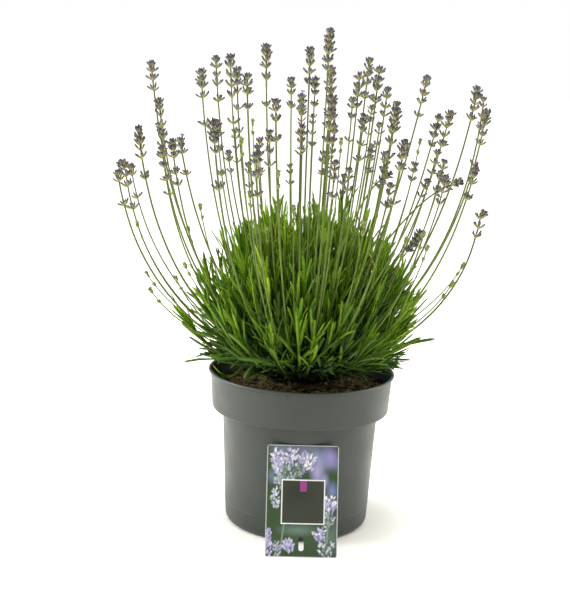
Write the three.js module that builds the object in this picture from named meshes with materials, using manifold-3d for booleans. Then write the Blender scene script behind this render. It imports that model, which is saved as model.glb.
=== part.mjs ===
// Potted lavender: a grey nursery pot of compost with a flowering lavender plant, and its card.
//
// Units are millimetres, +Z is up, and the origin is the centre of the pot's underside.
// -Y is the front, where the card leans on the pot.
//
// The pot, the compost, the woody crown and the card have their real shapes. Foliage is soft, so each leafy
// shoot is one plain closed solid of the shoot's outer size. Each flowering stem is one solid: a thin stem
// that fans out of the foliage, with a bead for every whorl of flowers on its spike.

import * as THREE from 'three';
import * as BufferGeometryUtils from 'three/addons/utils/BufferGeometryUtils.js';
import Module from 'manifold-3d';

// ---- Driving dimensions -------------------------------------------------------------------------------

const GAP = 0.3; // between pieces that touch

const POT_HEIGHT = 160;
const POT_LIP_RADIUS = 95;
const POT_WALL = 1.5;
const POT_SEGMENTS = 48; // sides of every turned shape that belongs to the pot or fills it
const POT_FLOOR = 2.4;
const POT_BASE_RADIUS = 73.5;
const POT_BASE_ROUND = 8;
const POT_WAIST_RADIUS = 79.5; // top of the body, under the collar
const COLLAR_HEIGHT = 40;
const COLLAR_LOWER_RADIUS = 90.5;
const COLLAR_ROUND = 2.5;
const LIP_BEAD = 1.4; // how far the rolled lip stands out past the wall
const LIP_BEAD_HEIGHT = 3;

const DRAIN_HOLES = 8;
const DRAIN_HOLE_RADIUS = 4.5;
const DRAIN_CIRCLE_RADIUS = 52;

const SOIL_EDGE_HEIGHT = 141; // where the compost meets the collar
const SOIL_MOUND_HEIGHT = 145; // round the crown

const CROWN_RADIUS = 9;
const CROWN_DEPTH = 25; // planted below the compost's surface
const CROWN_TOP_HEIGHT = 158;
const FORK_HEIGHT = 152; // where the crown's branches part
const BRANCH_RADIUS = 2;

const CARD_WIDTH = 70;
const CARD_LENGTH = 108;
const CARD_THICKNESS = 0.6;
const CARD_CORNER = 2.5;
const CARD_FOOT_DISTANCE = 111; // from the pot's axis to the card's lower edge, on the floor
const CARD_TURN = THREE.MathUtils.degToRad(2.7); // round the pot, from straight in front
const HANG_SLOT_WIDTH = 5;
const HANG_SLOT_LENGTH = 14;
const HANG_SLOT_CENTRE = 13; // above the card's lower edge

const STEM_ORIGIN = new THREE.Vector3(0, 0, 150); // every shoot and stem fans out from here
const STEM_RADIUS = 1.0;
const STEM_STEPS = 7;
const STEM_REACH = 0.84; // sideways and upward place of a stem's bend, as shares of the way to its tip
const STEM_RISE = 0.26;
const WHORL_RADIUS = 4.3;
const HEAD_WAIST_RADIUS = 3.0; // between two whorls of the dense head
const HEAD_PITCH = 5.5; // from whorl to whorl in the head
const HEAD_TOP = 3; // from the tip to the head's first whorl
const WHORL_HALF_HEIGHT = 3; // of a whorl that stands apart
const FOLIAGE_CLEARANCE = 0.5; // between a stem and the shoots that it leaves
const FOLIAGE_CORE = 60; // round STEM_ORIGIN, where stems and shoots are too crowded to part

const wasm = await Module();
wasm.setup();

// ---- Materials ----------------------------------------------------------------------------------------

function material(color, roughness) {
  return new THREE.MeshStandardMaterial({ color, roughness, metalness: 0 });
}

const greyPlastic = () => material(0x6d716c, 0.45);
const peat = () => material(0x3a2a1c, 0.95);
const bark = () => material(0x6b5138, 0.9);
const foliage = () => material(0x4c8a26, 0.6);
const stemGreen = () => material(0x7b8a5c, 0.6);
const printedCard = () => material(0x6f7799, 0.35);

// ---- Shared helpers -----------------------------------------------------------------------------------

const points = (pairs) => pairs.map(([x, y]) => new THREE.Vector2(x, y));

// A closed or axis-to-axis profile of (radius, height) pairs, turned round the Z axis.
function turned(profile, segments) {
  const geometry = new THREE.LatheGeometry(profile, segments);
  return geometry.rotateX(Math.PI / 2);
}

function solidOf(geometry) {
  let shape = geometry.clone();
  shape.deleteAttribute('normal');
  shape.deleteAttribute('uv');
  shape = BufferGeometryUtils.mergeVertices(shape, 1e-4);
  return new wasm.Manifold(new wasm.Mesh({
    numProp: 3,
    vertProperties: shape.attributes.position.array,
    triVerts: new Uint32Array(shape.index.array),
  }));
}

function geometryOf(solid) {
  const mesh = solid.getMesh();
  const geometry = new THREE.BufferGeometry();
  geometry.setAttribute('position', new THREE.BufferAttribute(mesh.vertProperties, 3));
  geometry.setIndex(new THREE.BufferAttribute(mesh.triVerts, 1));
  return geometry;
}

function named(name, geometry, surface) {
  const mesh = new THREE.Mesh(geometry, surface);
  mesh.name = name;
  return mesh;
}

const numbered = (stem, index) => `${stem}_${String(index + 1).padStart(2, '0')}`;

// ---- Pot ----------------------------------------------------------------------------------------------

const COLLAR_BOTTOM = POT_HEIGHT - COLLAR_HEIGHT;

// Outer radius of the pot's body at a height between its rounded foot and its collar.
function bodyRadius(height) {
  const share = (height - POT_BASE_ROUND) / (COLLAR_BOTTOM - POT_BASE_ROUND);
  return THREE.MathUtils.lerp(POT_BASE_RADIUS, POT_WAIST_RADIUS, share);
}

// Points on a quarter round, from angle `from` to angle `to` in degrees.
function arc(centreRadius, centreHeight, radius, from, to, steps) {
  const pairs = [];
  for (let i = 0; i <= steps; i += 1) {
    const angle = THREE.MathUtils.degToRad(THREE.MathUtils.lerp(from, to, i / steps));
    pairs.push([centreRadius + radius * Math.cos(angle), centreHeight + radius * Math.sin(angle)]);
  }
  return pairs;
}

function pot() {
  const wallTop = POT_LIP_RADIUS - LIP_BEAD;
  const outside = [
    [0, 0],
    ...arc(POT_BASE_RADIUS - POT_BASE_ROUND, POT_BASE_ROUND, POT_BASE_ROUND, -90, 0, 4),
    [POT_WAIST_RADIUS, COLLAR_BOTTOM],
    ...arc(COLLAR_LOWER_RADIUS - COLLAR_ROUND, COLLAR_BOTTOM + COLLAR_ROUND, COLLAR_ROUND, -90, 0, 2),
    [wallTop, POT_HEIGHT - LIP_BEAD_HEIGHT],
    [POT_LIP_RADIUS, POT_HEIGHT - LIP_BEAD_HEIGHT * 0.7],
    [POT_LIP_RADIUS, POT_HEIGHT - LIP_BEAD_HEIGHT * 0.3],
    [POT_LIP_RADIUS - LIP_BEAD, POT_HEIGHT],
  ];
  const inside = [
    [wallTop - POT_WALL, POT_HEIGHT - LIP_BEAD_HEIGHT * 0.3],
    [COLLAR_LOWER_RADIUS - POT_WALL, COLLAR_BOTTOM + COLLAR_ROUND + POT_WALL],
    [COLLAR_LOWER_RADIUS - COLLAR_ROUND, COLLAR_BOTTOM + POT_WALL],
    [POT_WAIST_RADIUS - POT_WALL, COLLAR_BOTTOM + POT_WALL],
    [POT_BASE_RADIUS - POT_WALL, POT_BASE_ROUND],
    [POT_BASE_RADIUS - POT_BASE_ROUND, POT_FLOOR],
    [0, POT_FLOOR],
  ];
  let solid = solidOf(turned(points([...outside, ...inside]), POT_SEGMENTS));
  for (let i = 0; i < DRAIN_HOLES; i += 1) {
    const drill = new THREE.CylinderGeometry(DRAIN_HOLE_RADIUS, DRAIN_HOLE_RADIUS, 4 * POT_FLOOR, 12);
    drill.rotateX(Math.PI / 2);
    drill.translate(DRAIN_CIRCLE_RADIUS, 0, 0);
    drill.rotateZ((2 * Math.PI * (i + 0.5)) / DRAIN_HOLES);
    solid = solid.subtract(solidOf(drill));
  }
  return named('pot', geometryOf(solid), greyPlastic());
}

// ---- Compost and crown --------------------------------------------------------------------------------

function pottingSoil() {
  const inset = POT_WALL + GAP;
  const socket = CROWN_RADIUS + GAP;
  const socketFloor = SOIL_MOUND_HEIGHT - CROWN_DEPTH - GAP;
  const edge = COLLAR_LOWER_RADIUS - inset;
  const profile = [
    [0, POT_FLOOR + GAP],
    [POT_BASE_RADIUS - POT_BASE_ROUND - GAP, POT_FLOOR + GAP],
    [POT_BASE_RADIUS - inset, POT_BASE_ROUND + GAP],
    [POT_WAIST_RADIUS - inset, COLLAR_BOTTOM + POT_WALL + GAP],
    [COLLAR_LOWER_RADIUS - COLLAR_ROUND - GAP, COLLAR_BOTTOM + POT_WALL + GAP],
    [edge, COLLAR_BOTTOM + COLLAR_ROUND + inset],
    [edge, SOIL_EDGE_HEIGHT],
    [edge * 0.55, SOIL_EDGE_HEIGHT + 1.5],
    [edge * 0.25, SOIL_MOUND_HEIGHT],
    [socket, SOIL_MOUND_HEIGHT],
    [socket, socketFloor],
    [0, socketFloor],
  ];
  return named('potting_soil', turned(points(profile), POT_SEGMENTS), peat());
}

// A short trunk with one woody branch to the foot of every leafy shoot.
function woodyCrown(shoots) {
  const foot = SOIL_MOUND_HEIGHT - CROWN_DEPTH;
  const profile = [
    [0, foot],
    [CROWN_RADIUS * 0.6, foot],
    [CROWN_RADIUS, SOIL_MOUND_HEIGHT - 8],
    [CROWN_RADIUS, SOIL_MOUND_HEIGHT + 4],
    [CROWN_RADIUS * 0.7, CROWN_TOP_HEIGHT - 2],
    [0, CROWN_TOP_HEIGHT],
  ];
  const fork = new THREE.Vector3(0, 0, FORK_HEIGHT);
  let solid = solidOf(turned(points(profile), 12));
  for (const shoot of shoots) {
    const way = shoot.base.clone().sub(fork);
    const length = way.length() - GAP;
    const branch = new THREE.CylinderGeometry(BRANCH_RADIUS, BRANCH_RADIUS, length, 6);
    branch.translate(0, length / 2, 0);
    const cylinderAxis = new THREE.Vector3(0, 1, 0);
    branch.applyQuaternion(new THREE.Quaternion().setFromUnitVectors(cylinderAxis, way.normalize()));
    branch.translate(0, 0, FORK_HEIGHT);
    solid = solid.add(solidOf(branch));
  }
  return named('woody_crown', geometryOf(solid), bark());
}

// ---- Leafy shoots -------------------------------------------------------------------------------------

// Rings of shoots round the crown: how many, their lean from upright, their length, their greatest radius,
// how far from the crown's axis and how high they start, and a turn of the whole ring.
const SHOOT_RINGS = [
  { count: 9, lean: 57, length: 112, radius: 16, start: 14, height: 163, turn: 10 },
  { count: 5, lean: 31, length: 128, radius: 14, start: 13, height: 176, turn: 30 },
  { count: 1, lean: 0, length: 122, radius: 12, start: 0, height: 182, turn: 0 },
];

// A shoot's radius along its length, as shares of its length and of its greatest radius.
const SHOOT_OUTLINE = [[0, 0], [0.03, 0.25], [0.3, 0.75], [0.6, 1], [0.85, 0.7], [1, 0]];

function shootList() {
  const shoots = [];
  for (const ring of SHOOT_RINGS) {
    for (let i = 0; i < ring.count; i += 1) {
      const heading = THREE.MathUtils.degToRad(ring.turn + (360 * i) / ring.count);
      const lean = THREE.MathUtils.degToRad(ring.lean);
      const outward = new THREE.Vector3(Math.cos(heading), Math.sin(heading), 0);
      const direction = outward.clone().multiplyScalar(Math.sin(lean)).setZ(Math.cos(lean));
      const base = outward.clone().multiplyScalar(ring.start).setZ(ring.height);
      shoots.push({ base, direction, length: ring.length, radius: ring.radius });
    }
  }
  return shoots;
}

function shootRadius(shoot, along) {
  const share = along / shoot.length;
  if (share <= 0 || share >= 1) {
    return 0;
  }
  const next = SHOOT_OUTLINE.findIndex(([place]) => place > share);
  const [low, lowRadius] = SHOOT_OUTLINE[next - 1];
  const [high, highRadius] = SHOOT_OUTLINE[next];
  return shoot.radius * THREE.MathUtils.mapLinear(share, low, high, lowRadius, highRadius);
}

// Distance from a point to a shoot's surface, measured square to the shoot's axis near its middle.
function distanceToShoot(point, shoot) {
  const offset = point.clone().sub(shoot.base);
  const along = THREE.MathUtils.clamp(offset.dot(shoot.direction), 0, shoot.length);
  const nearest = shoot.direction.clone().multiplyScalar(along);
  return offset.distanceTo(nearest) - shootRadius(shoot, along);
}

function leafyShoot(shoot, index) {
  const profile = SHOOT_OUTLINE.map(([place, radius]) => [radius * shoot.radius, place * shoot.length]);
  const mesh = named(numbered('leafy_shoot', index), turned(points(profile), 8), foliage());
  mesh.position.copy(shoot.base);
  mesh.quaternion.setFromUnitVectors(new THREE.Vector3(0, 0, 1), shoot.direction);
  return mesh;
}

// ---- Flowering stems ----------------------------------------------------------------------------------

// Each stem's tip, the number of whorls in its dense head, and how far below the tip its separate whorls are.
// `reach` is given where a stem bows out more, or less, than STEM_REACH.
const FLOWER_STEMS = [
  { tip: [-185, 0, 370], head: 3, apart: [24, 47], reach: 0.92 },
  { tip: [-186, -45, 362], head: 2, apart: [32], reach: 0.88 },
  { tip: [-184, 45, 358], head: 2, apart: [33], reach: 0.85 },
  { tip: [-165, -60, 405], head: 4, apart: [27, 48], reach: 0.88 },
  { tip: [-155, 55, 400], head: 3, apart: [18, 29, 68], reach: 0.9 },
  { tip: [-160, 0, 465], head: 2, apart: [16, 26], reach: 0.86 },
  { tip: [-150, -20, 430], head: 3, apart: [25, 36] },
  { tip: [-130, -95, 398], head: 2, apart: [14, 30, 41] },
  { tip: [-140, 120, 380], head: 2, apart: [15, 38], reach: 0.76 },
  { tip: [-108, -45, 460], head: 2, apart: [14, 23, 50] },
  { tip: [-100, 60, 470], head: 2, apart: [11, 20, 36] },
  { tip: [-80, -55, 475], head: 2, apart: [11, 20, 30, 55] },
  { tip: [-78, 50, 460], head: 3, apart: [23, 40, 63] },
  { tip: [-62, -110, 461], head: 2, apart: [16, 30] },
  { tip: [-48, 15, 485], head: 3, apart: [19, 30, 57] },
  { tip: [-35, -130, 440], head: 2, apart: [17, 36], reach: 0.76 },
  { tip: [-22, 100, 450], head: 2, apart: [15, 29], reach: 0.76 },
  { tip: [-90, -135, 420], head: 4, apart: [28, 62] },
  { tip: [-100, 120, 400], head: 3, apart: [30, 56] },
  { tip: [-50, -160, 395], head: 2, apart: [20, 38] },
  { tip: [-55, 160, 380], head: 2, apart: [18, 36] },
  { tip: [-5, -50, 485], head: 3, apart: [22, 32] },
  { tip: [12, -75, 503], head: 4, apart: [28, 36] },
  { tip: [18, 35, 465], head: 2, apart: [16, 25, 50] },
  { tip: [15, -135, 445], head: 4, apart: [27, 40] },
  { tip: [-10, 150, 430], head: 2, apart: [17, 42] },
  { tip: [55, 25, 475], head: 2, apart: [13, 21, 34], reach: 0.76 },
  { tip: [40, -105, 465], head: 1, apart: [12, 18, 29], reach: 0.8 },
  { tip: [60, -70, 470], head: 1, apart: [12, 19, 30], reach: 0.76 },
  { tip: [45, 130, 430], head: 2, apart: [20, 45] },
  { tip: [78, 70, 445], head: 2, apart: [18, 27], reach: 0.76 },
  { tip: [73, -135, 437], head: 4, apart: [31, 45], reach: 0.76 },
  { tip: [80, -160, 410], head: 2, apart: [14, 24, 58], reach: 0.76 },
  { tip: [114, 25, 460], head: 2, apart: [17, 25, 39], reach: 0.64 },
  { tip: [115, -100, 430], head: 1, apart: [12, 19, 28], reach: 0.68 },
  { tip: [143, 55, 424], head: 3, apart: [24, 34], reach: 0.7 },
  { tip: [162, 0, 452], head: 3, apart: [21, 30], reach: 0.8 },
  { tip: [178, 45, 428], head: 3, apart: [25, 34, 57], reach: 0.88 },
  { tip: [150, -110, 385], head: 3, apart: [30], reach: 0.8 },
  { tip: [85, 160, 370], head: 2, apart: [20, 40] },
  { tip: [172, -10, 335], head: 2, apart: [15, 25], reach: 0.95 },
];

function stemCurve(stem) {
  const tip = new THREE.Vector3(...stem.tip);
  const bend = tip.clone().multiplyScalar(stem.reach ?? STEM_REACH);
  bend.z = THREE.MathUtils.lerp(STEM_ORIGIN.z, tip.z, STEM_RISE);
  return new THREE.QuadraticBezierCurve3(STEM_ORIGIN, bend, tip);
}

// The first place along the curve, as a share of its length, from which the stem stays clear of every shoot.
function leavesFoliageAt(curve, shoots) {
  const samples = 200;
  let i = samples;
  let clearance = Infinity;
  while (clearance > STEM_RADIUS + FOLIAGE_CLEARANCE) {
    i -= 1;
    const point = curve.getPointAt(i / samples);
    const toShoots = shoots.map((shoot) => distanceToShoot(point, shoot));
    clearance = Math.min(...toShoots, point.distanceTo(STEM_ORIGIN) - FOLIAGE_CORE);
  }
  return (i + 1) / samples;
}

// Stem outline as (distance from the tip, radius) pairs, from the tip down to where the plain stem starts.
function spikeOutline(stem) {
  const outline = [[0, 0]];
  for (let i = 0; i < stem.head; i += 1) {
    const place = HEAD_TOP + i * HEAD_PITCH;
    outline.push([place, WHORL_RADIUS]);
    outline.push([place + HEAD_PITCH / 2, i + 1 < stem.head ? HEAD_WAIST_RADIUS : STEM_RADIUS]);
  }
  for (const place of stem.apart) {
    outline.push([place - WHORL_HALF_HEIGHT, STEM_RADIUS]);
    outline.push([place, WHORL_RADIUS]);
    outline.push([place + WHORL_HALF_HEIGHT, STEM_RADIUS]);
  }
  return outline;
}

// Stems are square in section, as on every plant of the mint family: each is a four-sided turning that is
// bent along its curve.
function flowerStem(stem, index, shoots) {
  const curve = stemCurve(stem);
  const length = curve.getLength();
  const start = leavesFoliageAt(curve, shoots) * length;
  const spike = spikeOutline(stem).map(([place, radius]) => [radius, length - place]);
  const spikeFoot = spike[spike.length - 1][1];
  const profile = [[0, start]];
  for (let i = 0; i < STEM_STEPS; i += 1) {
    profile.push([STEM_RADIUS, THREE.MathUtils.lerp(start, spikeFoot, i / STEM_STEPS)]);
  }
  profile.push(...spike.reverse());
  const geometry = turned(points(profile), 4);
  bendAlong(geometry, curve, length);
  return named(numbered('flower_stem', index), geometry, stemGreen());
}

// Moves a shape that stands along +Z onto a curve, keeping each section square to the curve.
function bendAlong(geometry, curve, length) {
  const positions = geometry.attributes.position;
  const vertex = new THREE.Vector3();
  const across = new THREE.Vector3(0, 1, 0);
  for (let i = 0; i < positions.count; i += 1) {
    vertex.fromBufferAttribute(positions, i);
    const share = THREE.MathUtils.clamp(vertex.z / length, 0, 1);
    const tangent = curve.getTangentAt(share);
    const side = across.clone().cross(tangent).normalize();
    const front = tangent.clone().cross(side);
    const place = curve.getPointAt(share).addScaledVector(side, vertex.x).addScaledVector(front, vertex.y);
    positions.setXYZ(i, place.x, place.y, place.z);
  }
}

// ---- Card ---------------------------------------------------------------------------------------------

function roundedRectangle(shape, left, bottom, width, height, radius) {
  shape.moveTo(left + radius, bottom);
  shape.absarc(left + width - radius, bottom + radius, radius, -Math.PI / 2, 0);
  shape.absarc(left + width - radius, bottom + height - radius, radius, 0, Math.PI / 2);
  shape.absarc(left + radius, bottom + height - radius, radius, Math.PI / 2, Math.PI);
  shape.absarc(left + radius, bottom + radius, radius, Math.PI, 1.5 * Math.PI);
}

// Leans back on the body's side: its upper back edge is GAP in front of the pot.
function cardLean() {
  const contactHeight = CARD_LENGTH * 0.955;
  const run = CARD_FOOT_DISTANCE - bodyRadius(contactHeight) - CARD_THICKNESS - GAP;
  return Math.asin(run / CARD_LENGTH);
}

function plantLabel() {
  const outline = new THREE.Shape();
  roundedRectangle(outline, -CARD_WIDTH / 2, 0, CARD_WIDTH, CARD_LENGTH, CARD_CORNER);
  const slotBottom = HANG_SLOT_CENTRE - HANG_SLOT_LENGTH / 2;
  const slotRadius = HANG_SLOT_WIDTH / 2;
  const slot = new THREE.Path();
  roundedRectangle(slot, -slotRadius, slotBottom, HANG_SLOT_WIDTH, HANG_SLOT_LENGTH, slotRadius);
  outline.holes.push(slot);
  const geometry = new THREE.ExtrudeGeometry(outline, {
    depth: CARD_THICKNESS,
    bevelEnabled: false,
    curveSegments: 4,
  });
  geometry.translate(0, 0, -CARD_THICKNESS);
  geometry.rotateX(Math.PI / 2);
  const card = named('plant_label', geometry, printedCard());
  const lean = cardLean();
  card.rotation.x = -lean;
  card.position.set(0, -CARD_FOOT_DISTANCE, CARD_THICKNESS * Math.sin(lean)); // its back edge is on the floor
  const turn = new THREE.Group();
  turn.rotation.z = CARD_TURN;
  turn.add(card);
  return turn;
}

// ---- Assembly -----------------------------------------------------------------------------------------

const shoots = shootList();
const group = new THREE.Group();
group.add(pot(), pottingSoil(), woodyCrown(shoots), plantLabel());
shoots.forEach((shoot, index) => group.add(leafyShoot(shoot, index)));
FLOWER_STEMS.forEach((stem, index) => group.add(flowerStem(stem, index, shoots)));

export default group;
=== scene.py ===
# %% [markdown]
# # A lavender in its nursery pot
#
# The plant is grown here the way it is built in life: a grey pot, compost, a woody crown, leafy shoots and
# thin stems with whorls of small flower cups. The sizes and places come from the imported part, which is
# loaded first, and every piece that is made here stands for one of its nodes or grows from the same crown.

# %% Load the part
import math
import random

import bmesh
import bpy
import numpy as np
from mathutils import Matrix, Vector, geometry, noise


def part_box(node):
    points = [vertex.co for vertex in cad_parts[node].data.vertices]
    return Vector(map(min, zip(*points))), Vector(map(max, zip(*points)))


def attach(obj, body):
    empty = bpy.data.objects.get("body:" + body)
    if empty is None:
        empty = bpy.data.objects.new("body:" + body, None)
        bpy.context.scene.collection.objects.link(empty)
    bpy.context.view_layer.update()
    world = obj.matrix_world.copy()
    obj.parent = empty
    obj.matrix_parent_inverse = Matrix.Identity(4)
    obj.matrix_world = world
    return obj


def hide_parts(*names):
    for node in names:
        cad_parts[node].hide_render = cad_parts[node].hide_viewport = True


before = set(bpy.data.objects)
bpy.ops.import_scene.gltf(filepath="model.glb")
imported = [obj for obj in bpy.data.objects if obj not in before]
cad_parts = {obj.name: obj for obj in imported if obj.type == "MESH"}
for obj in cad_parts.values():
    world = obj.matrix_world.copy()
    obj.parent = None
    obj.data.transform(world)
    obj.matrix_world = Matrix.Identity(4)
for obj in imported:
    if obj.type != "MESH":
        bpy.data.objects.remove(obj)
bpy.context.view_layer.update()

MM = 0.001
UP = Vector((0, 0, 1))
SIDEWAYS = Vector((1, 0, 0))
print("nodes in the part:", len(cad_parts))

# %% [markdown]
# ## Camera
#
# A plant this size is best seen slightly from above, so that the compost inside the rim shows. A short lens
# from close by would stretch the stems at the sides, so a long lens is used from 1.4 m. The camera could be
# aimed with a constraint, but one matrix is enough: a place, a tilt from straight down to nearly level, and
# a small roll.

# %% Camera
CAMERA_TARGET = Vector((-19.9, 0.0, 236.4)) * MM
CAMERA_DISTANCE = 1.4
CAMERA_ELEVATION = math.radians(11.37)
CAMERA_ROLL = math.radians(2.23)
CAMERA_LENS = 84.27  # in mm

camera_data = bpy.data.cameras.new("camera")
camera_data.lens = CAMERA_LENS
camera_data.sensor_width = 36.0
camera = bpy.data.objects.new("camera", camera_data)
toward_camera = Vector((0.0, -math.cos(CAMERA_ELEVATION), math.sin(CAMERA_ELEVATION)))
camera.matrix_world = (
    Matrix.Translation(CAMERA_TARGET + CAMERA_DISTANCE * toward_camera)
    @ Matrix.Rotation(math.radians(90.0) - CAMERA_ELEVATION, 4, "X")
    @ Matrix.Rotation(CAMERA_ROLL, 4, "Z")
)
bpy.context.scene.collection.objects.link(camera)
bpy.context.scene.camera = camera
print("camera at", [round(c, 3) for c in camera.matrix_world.translation])

# %% [markdown]
# ## Node trees
#
# The light and every finish are made of nodes. They could be drawn by hand in the node editor, but a script
# shows every value at once. Three small helpers keep it short: one makes an empty group, one makes a node
# with its values, and one draws a list of links.

# %% Helpers for node trees
def node_group(name, inputs, outputs):
    """An empty shader node group with its sockets, and its two end nodes."""
    group = bpy.data.node_groups.new(name, "ShaderNodeTree")
    for label, kind, value in inputs:
        socket = group.interface.new_socket(label, in_out="INPUT", socket_type=kind)
        socket.default_value = value
    for label, kind in outputs:
        group.interface.new_socket(label, in_out="OUTPUT", socket_type=kind)
    return group, group.nodes.new("NodeGroupInput"), group.nodes.new("NodeGroupOutput")


def add_node(tree, kind, settings=None, values=None):
    """A node of that kind, with its properties and unlinked sockets set."""
    node = tree.nodes.new(kind)
    for key, value in (settings or {}).items():
        setattr(node, key, value)
    for key, value in (values or {}).items():
        node.inputs[key].default_value = value
    return node


def connect(tree, *pairs):
    """Links each pair of an output socket and an input socket."""
    for source, target in pairs:
        tree.links.new(source, target)


# %% [markdown]
# ## Light
#
# A plant this fine is lit from everywhere. A wide box overhead gives the leaves their bright upper sides,
# and one box on each side draws the edges of the pot. Boxes alone would leave black shade between the
# leaves, so a white surround fills it. A real studio is darker behind the camera than behind the plant, so
# the surround fades towards the front. What the camera itself sees of it stays plain white.

# %% Surround
SURROUND_FRONT = 0.15
SURROUND_BACK = 1.15
FADE_START = -1.0  # the Y of a direction: straight to the front
FADE_END = 0.35  # a little to the back

bpy.context.scene.view_settings.view_transform = "Standard"
world = bpy.data.worlds.new("surround")
world.use_nodes = True
bpy.context.scene.world = world
tree = world.node_tree
background = tree.nodes["Background"]
background.inputs["Color"].default_value = (1.0, 1.0, 1.0, 1.0)
direction = add_node(tree, "ShaderNodeTexCoord")
parts = add_node(tree, "ShaderNodeSeparateXYZ")
front_to_back = add_node(
    tree, "ShaderNodeMapRange", {"interpolation_type": "SMOOTHSTEP"},
    {"From Min": FADE_START, "From Max": FADE_END, "To Min": SURROUND_FRONT, "To Max": SURROUND_BACK},
)
light_path = add_node(tree, "ShaderNodeLightPath")
seen = add_node(tree, "ShaderNodeMix", values={"B": 1.0})
connect(
    tree,
    (direction.outputs["Generated"], parts.inputs["Vector"]),
    (parts.outputs["Y"], front_to_back.inputs["Value"]),
    (light_path.outputs["Is Camera Ray"], seen.inputs["Factor"]),
    (front_to_back.outputs["Result"], seen.inputs["A"]),
    (seen.outputs["Result"], background.inputs["Strength"]),
)
print("surround:", SURROUND_FRONT, "in front,", SURROUND_BACK, "behind")

# %% Soft boxes
SOFT_BOXES = (
    # name, place in metres, size in metres, power in watts
    ("top_box", (-0.15, -0.20, 1.75), 1.4, 23.0),
    ("left_box", (-1.6, 0.0, 0.8), 1.0, 37.0),
    ("right_box", (1.6, 0.15, 0.8), 1.0, 19.0),
)
for name, place, size, power in SOFT_BOXES:
    box_data = bpy.data.lights.new(name, "AREA")
    box_data.size = size
    box_data.energy = power
    box = bpy.data.objects.new(name, box_data)
    box.location = place
    box.rotation_euler = (CAMERA_TARGET - Vector(place)).to_track_quat("-Z", "Y").to_euler()
    bpy.context.scene.collection.objects.link(box)
print("soft boxes:", len(SOFT_BOXES))

# %% [markdown]
# ## Shared finishes
#
# Nature rarely has one flat colour. Three small effects turn up in nearly every material here: patches that
# wander between two colours, a fine uneven surface, and scattered specks. Each could be wired again in every
# material, but a node group is built once and placed with its own values. A group hands out only a colour, a
# mask or a normal, and the shader stays in its material.

# %% Patches: two colours that wander into each other
patches, start, end = node_group(
    "patches",
    (
        ("Scale", "NodeSocketFloat", 100.0),
        ("Sharpness", "NodeSocketFloat", 2.0),
        ("Colour A", "NodeSocketColor", (0.2, 0.2, 0.2, 1.0)),
        ("Colour B", "NodeSocketColor", (0.1, 0.1, 0.1, 1.0)),
    ),
    (("Colour", "NodeSocketColor"), ("Mask", "NodeSocketFloat")),
)
coordinates = add_node(patches, "ShaderNodeTexCoord")
cloud = add_node(patches, "ShaderNodeTexNoise", values={"Detail": 4.0})
centred = add_node(patches, "ShaderNodeMath", {"operation": "SUBTRACT"}, {1: 0.5})
sharper = add_node(patches, "ShaderNodeMath", {"operation": "MULTIPLY_ADD", "use_clamp": True}, {2: 0.5})
mix = add_node(patches, "ShaderNodeMix", {"data_type": "RGBA"})
connect(
    patches,
    (coordinates.outputs["Object"], cloud.inputs["Vector"]),
    (start.outputs["Scale"], cloud.inputs["Scale"]),
    (cloud.outputs["Fac"], centred.inputs[0]),
    (centred.outputs[0], sharper.inputs[0]),
    (start.outputs["Sharpness"], sharper.inputs[1]),
    (sharper.outputs[0], mix.inputs["Factor"]),
    (start.outputs["Colour A"], mix.inputs["A"]),
    (start.outputs["Colour B"], mix.inputs["B"]),
    (mix.outputs["Result"], end.inputs["Colour"]),
    (sharper.outputs[0], end.inputs["Mask"]),
)
print("group:", patches.name)

# %% Fine grain: a normal that is a little uneven
grain, start, end = node_group(
    "fine_grain",
    (
        ("Scale", "NodeSocketFloat", 1000.0),
        ("Strength", "NodeSocketFloat", 0.3),
        ("Depth", "NodeSocketFloat", 0.0002),
    ),
    (("Normal", "NodeSocketVector"),),
)
coordinates = add_node(grain, "ShaderNodeTexCoord")
cloud = add_node(grain, "ShaderNodeTexNoise", values={"Detail": 3.0})
bump = add_node(grain, "ShaderNodeBump")
connect(
    grain,
    (coordinates.outputs["Object"], cloud.inputs["Vector"]),
    (start.outputs["Scale"], cloud.inputs["Scale"]),
    (cloud.outputs["Fac"], bump.inputs["Height"]),
    (start.outputs["Strength"], bump.inputs["Strength"]),
    (start.outputs["Depth"], bump.inputs["Distance"]),
    (bump.outputs["Normal"], end.inputs["Normal"]),
)
print("group:", grain.name)

# %% Specks: scattered small marks
SPECK_RARITY = 0.6  # this share of the cells has no speck
specks, start, end = node_group(
    "specks",
    (("Scale", "NodeSocketFloat", 200.0), ("Size", "NodeSocketFloat", 0.1)),
    (("Mask", "NodeSocketFloat"),),
)
coordinates = add_node(specks, "ShaderNodeTexCoord")
cells = add_node(specks, "ShaderNodeTexVoronoi")
inside = add_node(specks, "ShaderNodeMath", {"operation": "LESS_THAN"})
rare = add_node(specks, "ShaderNodeMath", {"operation": "GREATER_THAN"}, {1: SPECK_RARITY})
both = add_node(specks, "ShaderNodeMath", {"operation": "MULTIPLY"})
split = add_node(specks, "ShaderNodeSeparateColor")
connect(
    specks,
    (coordinates.outputs["Object"], cells.inputs["Vector"]),
    (start.outputs["Scale"], cells.inputs["Scale"]),
    (cells.outputs["Distance"], inside.inputs[0]),
    (start.outputs["Size"], inside.inputs[1]),
    (cells.outputs["Color"], split.inputs["Color"]),
    (split.outputs["Red"], rare.inputs[0]),
    (inside.outputs[0], both.inputs[0]),
    (rare.outputs[0], both.inputs[1]),
    (both.outputs[0], end.inputs["Mask"]),
)
print("group:", specks.name)

# %% [markdown]
# ## A material and its links
#
# Each material starts from the same small step: a Principled shader with its constant numbers set on its
# own sockets. Its colour then comes from a chain of mixes, and a fine grain goes to its normal. An unwrapped
# texture could do the same, but thousands of leaves would each need a place on it. Two numbers travel with
# every plant part as mesh attributes instead: `along`, from its foot to its tip, and `tint`, its own shade.

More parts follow.
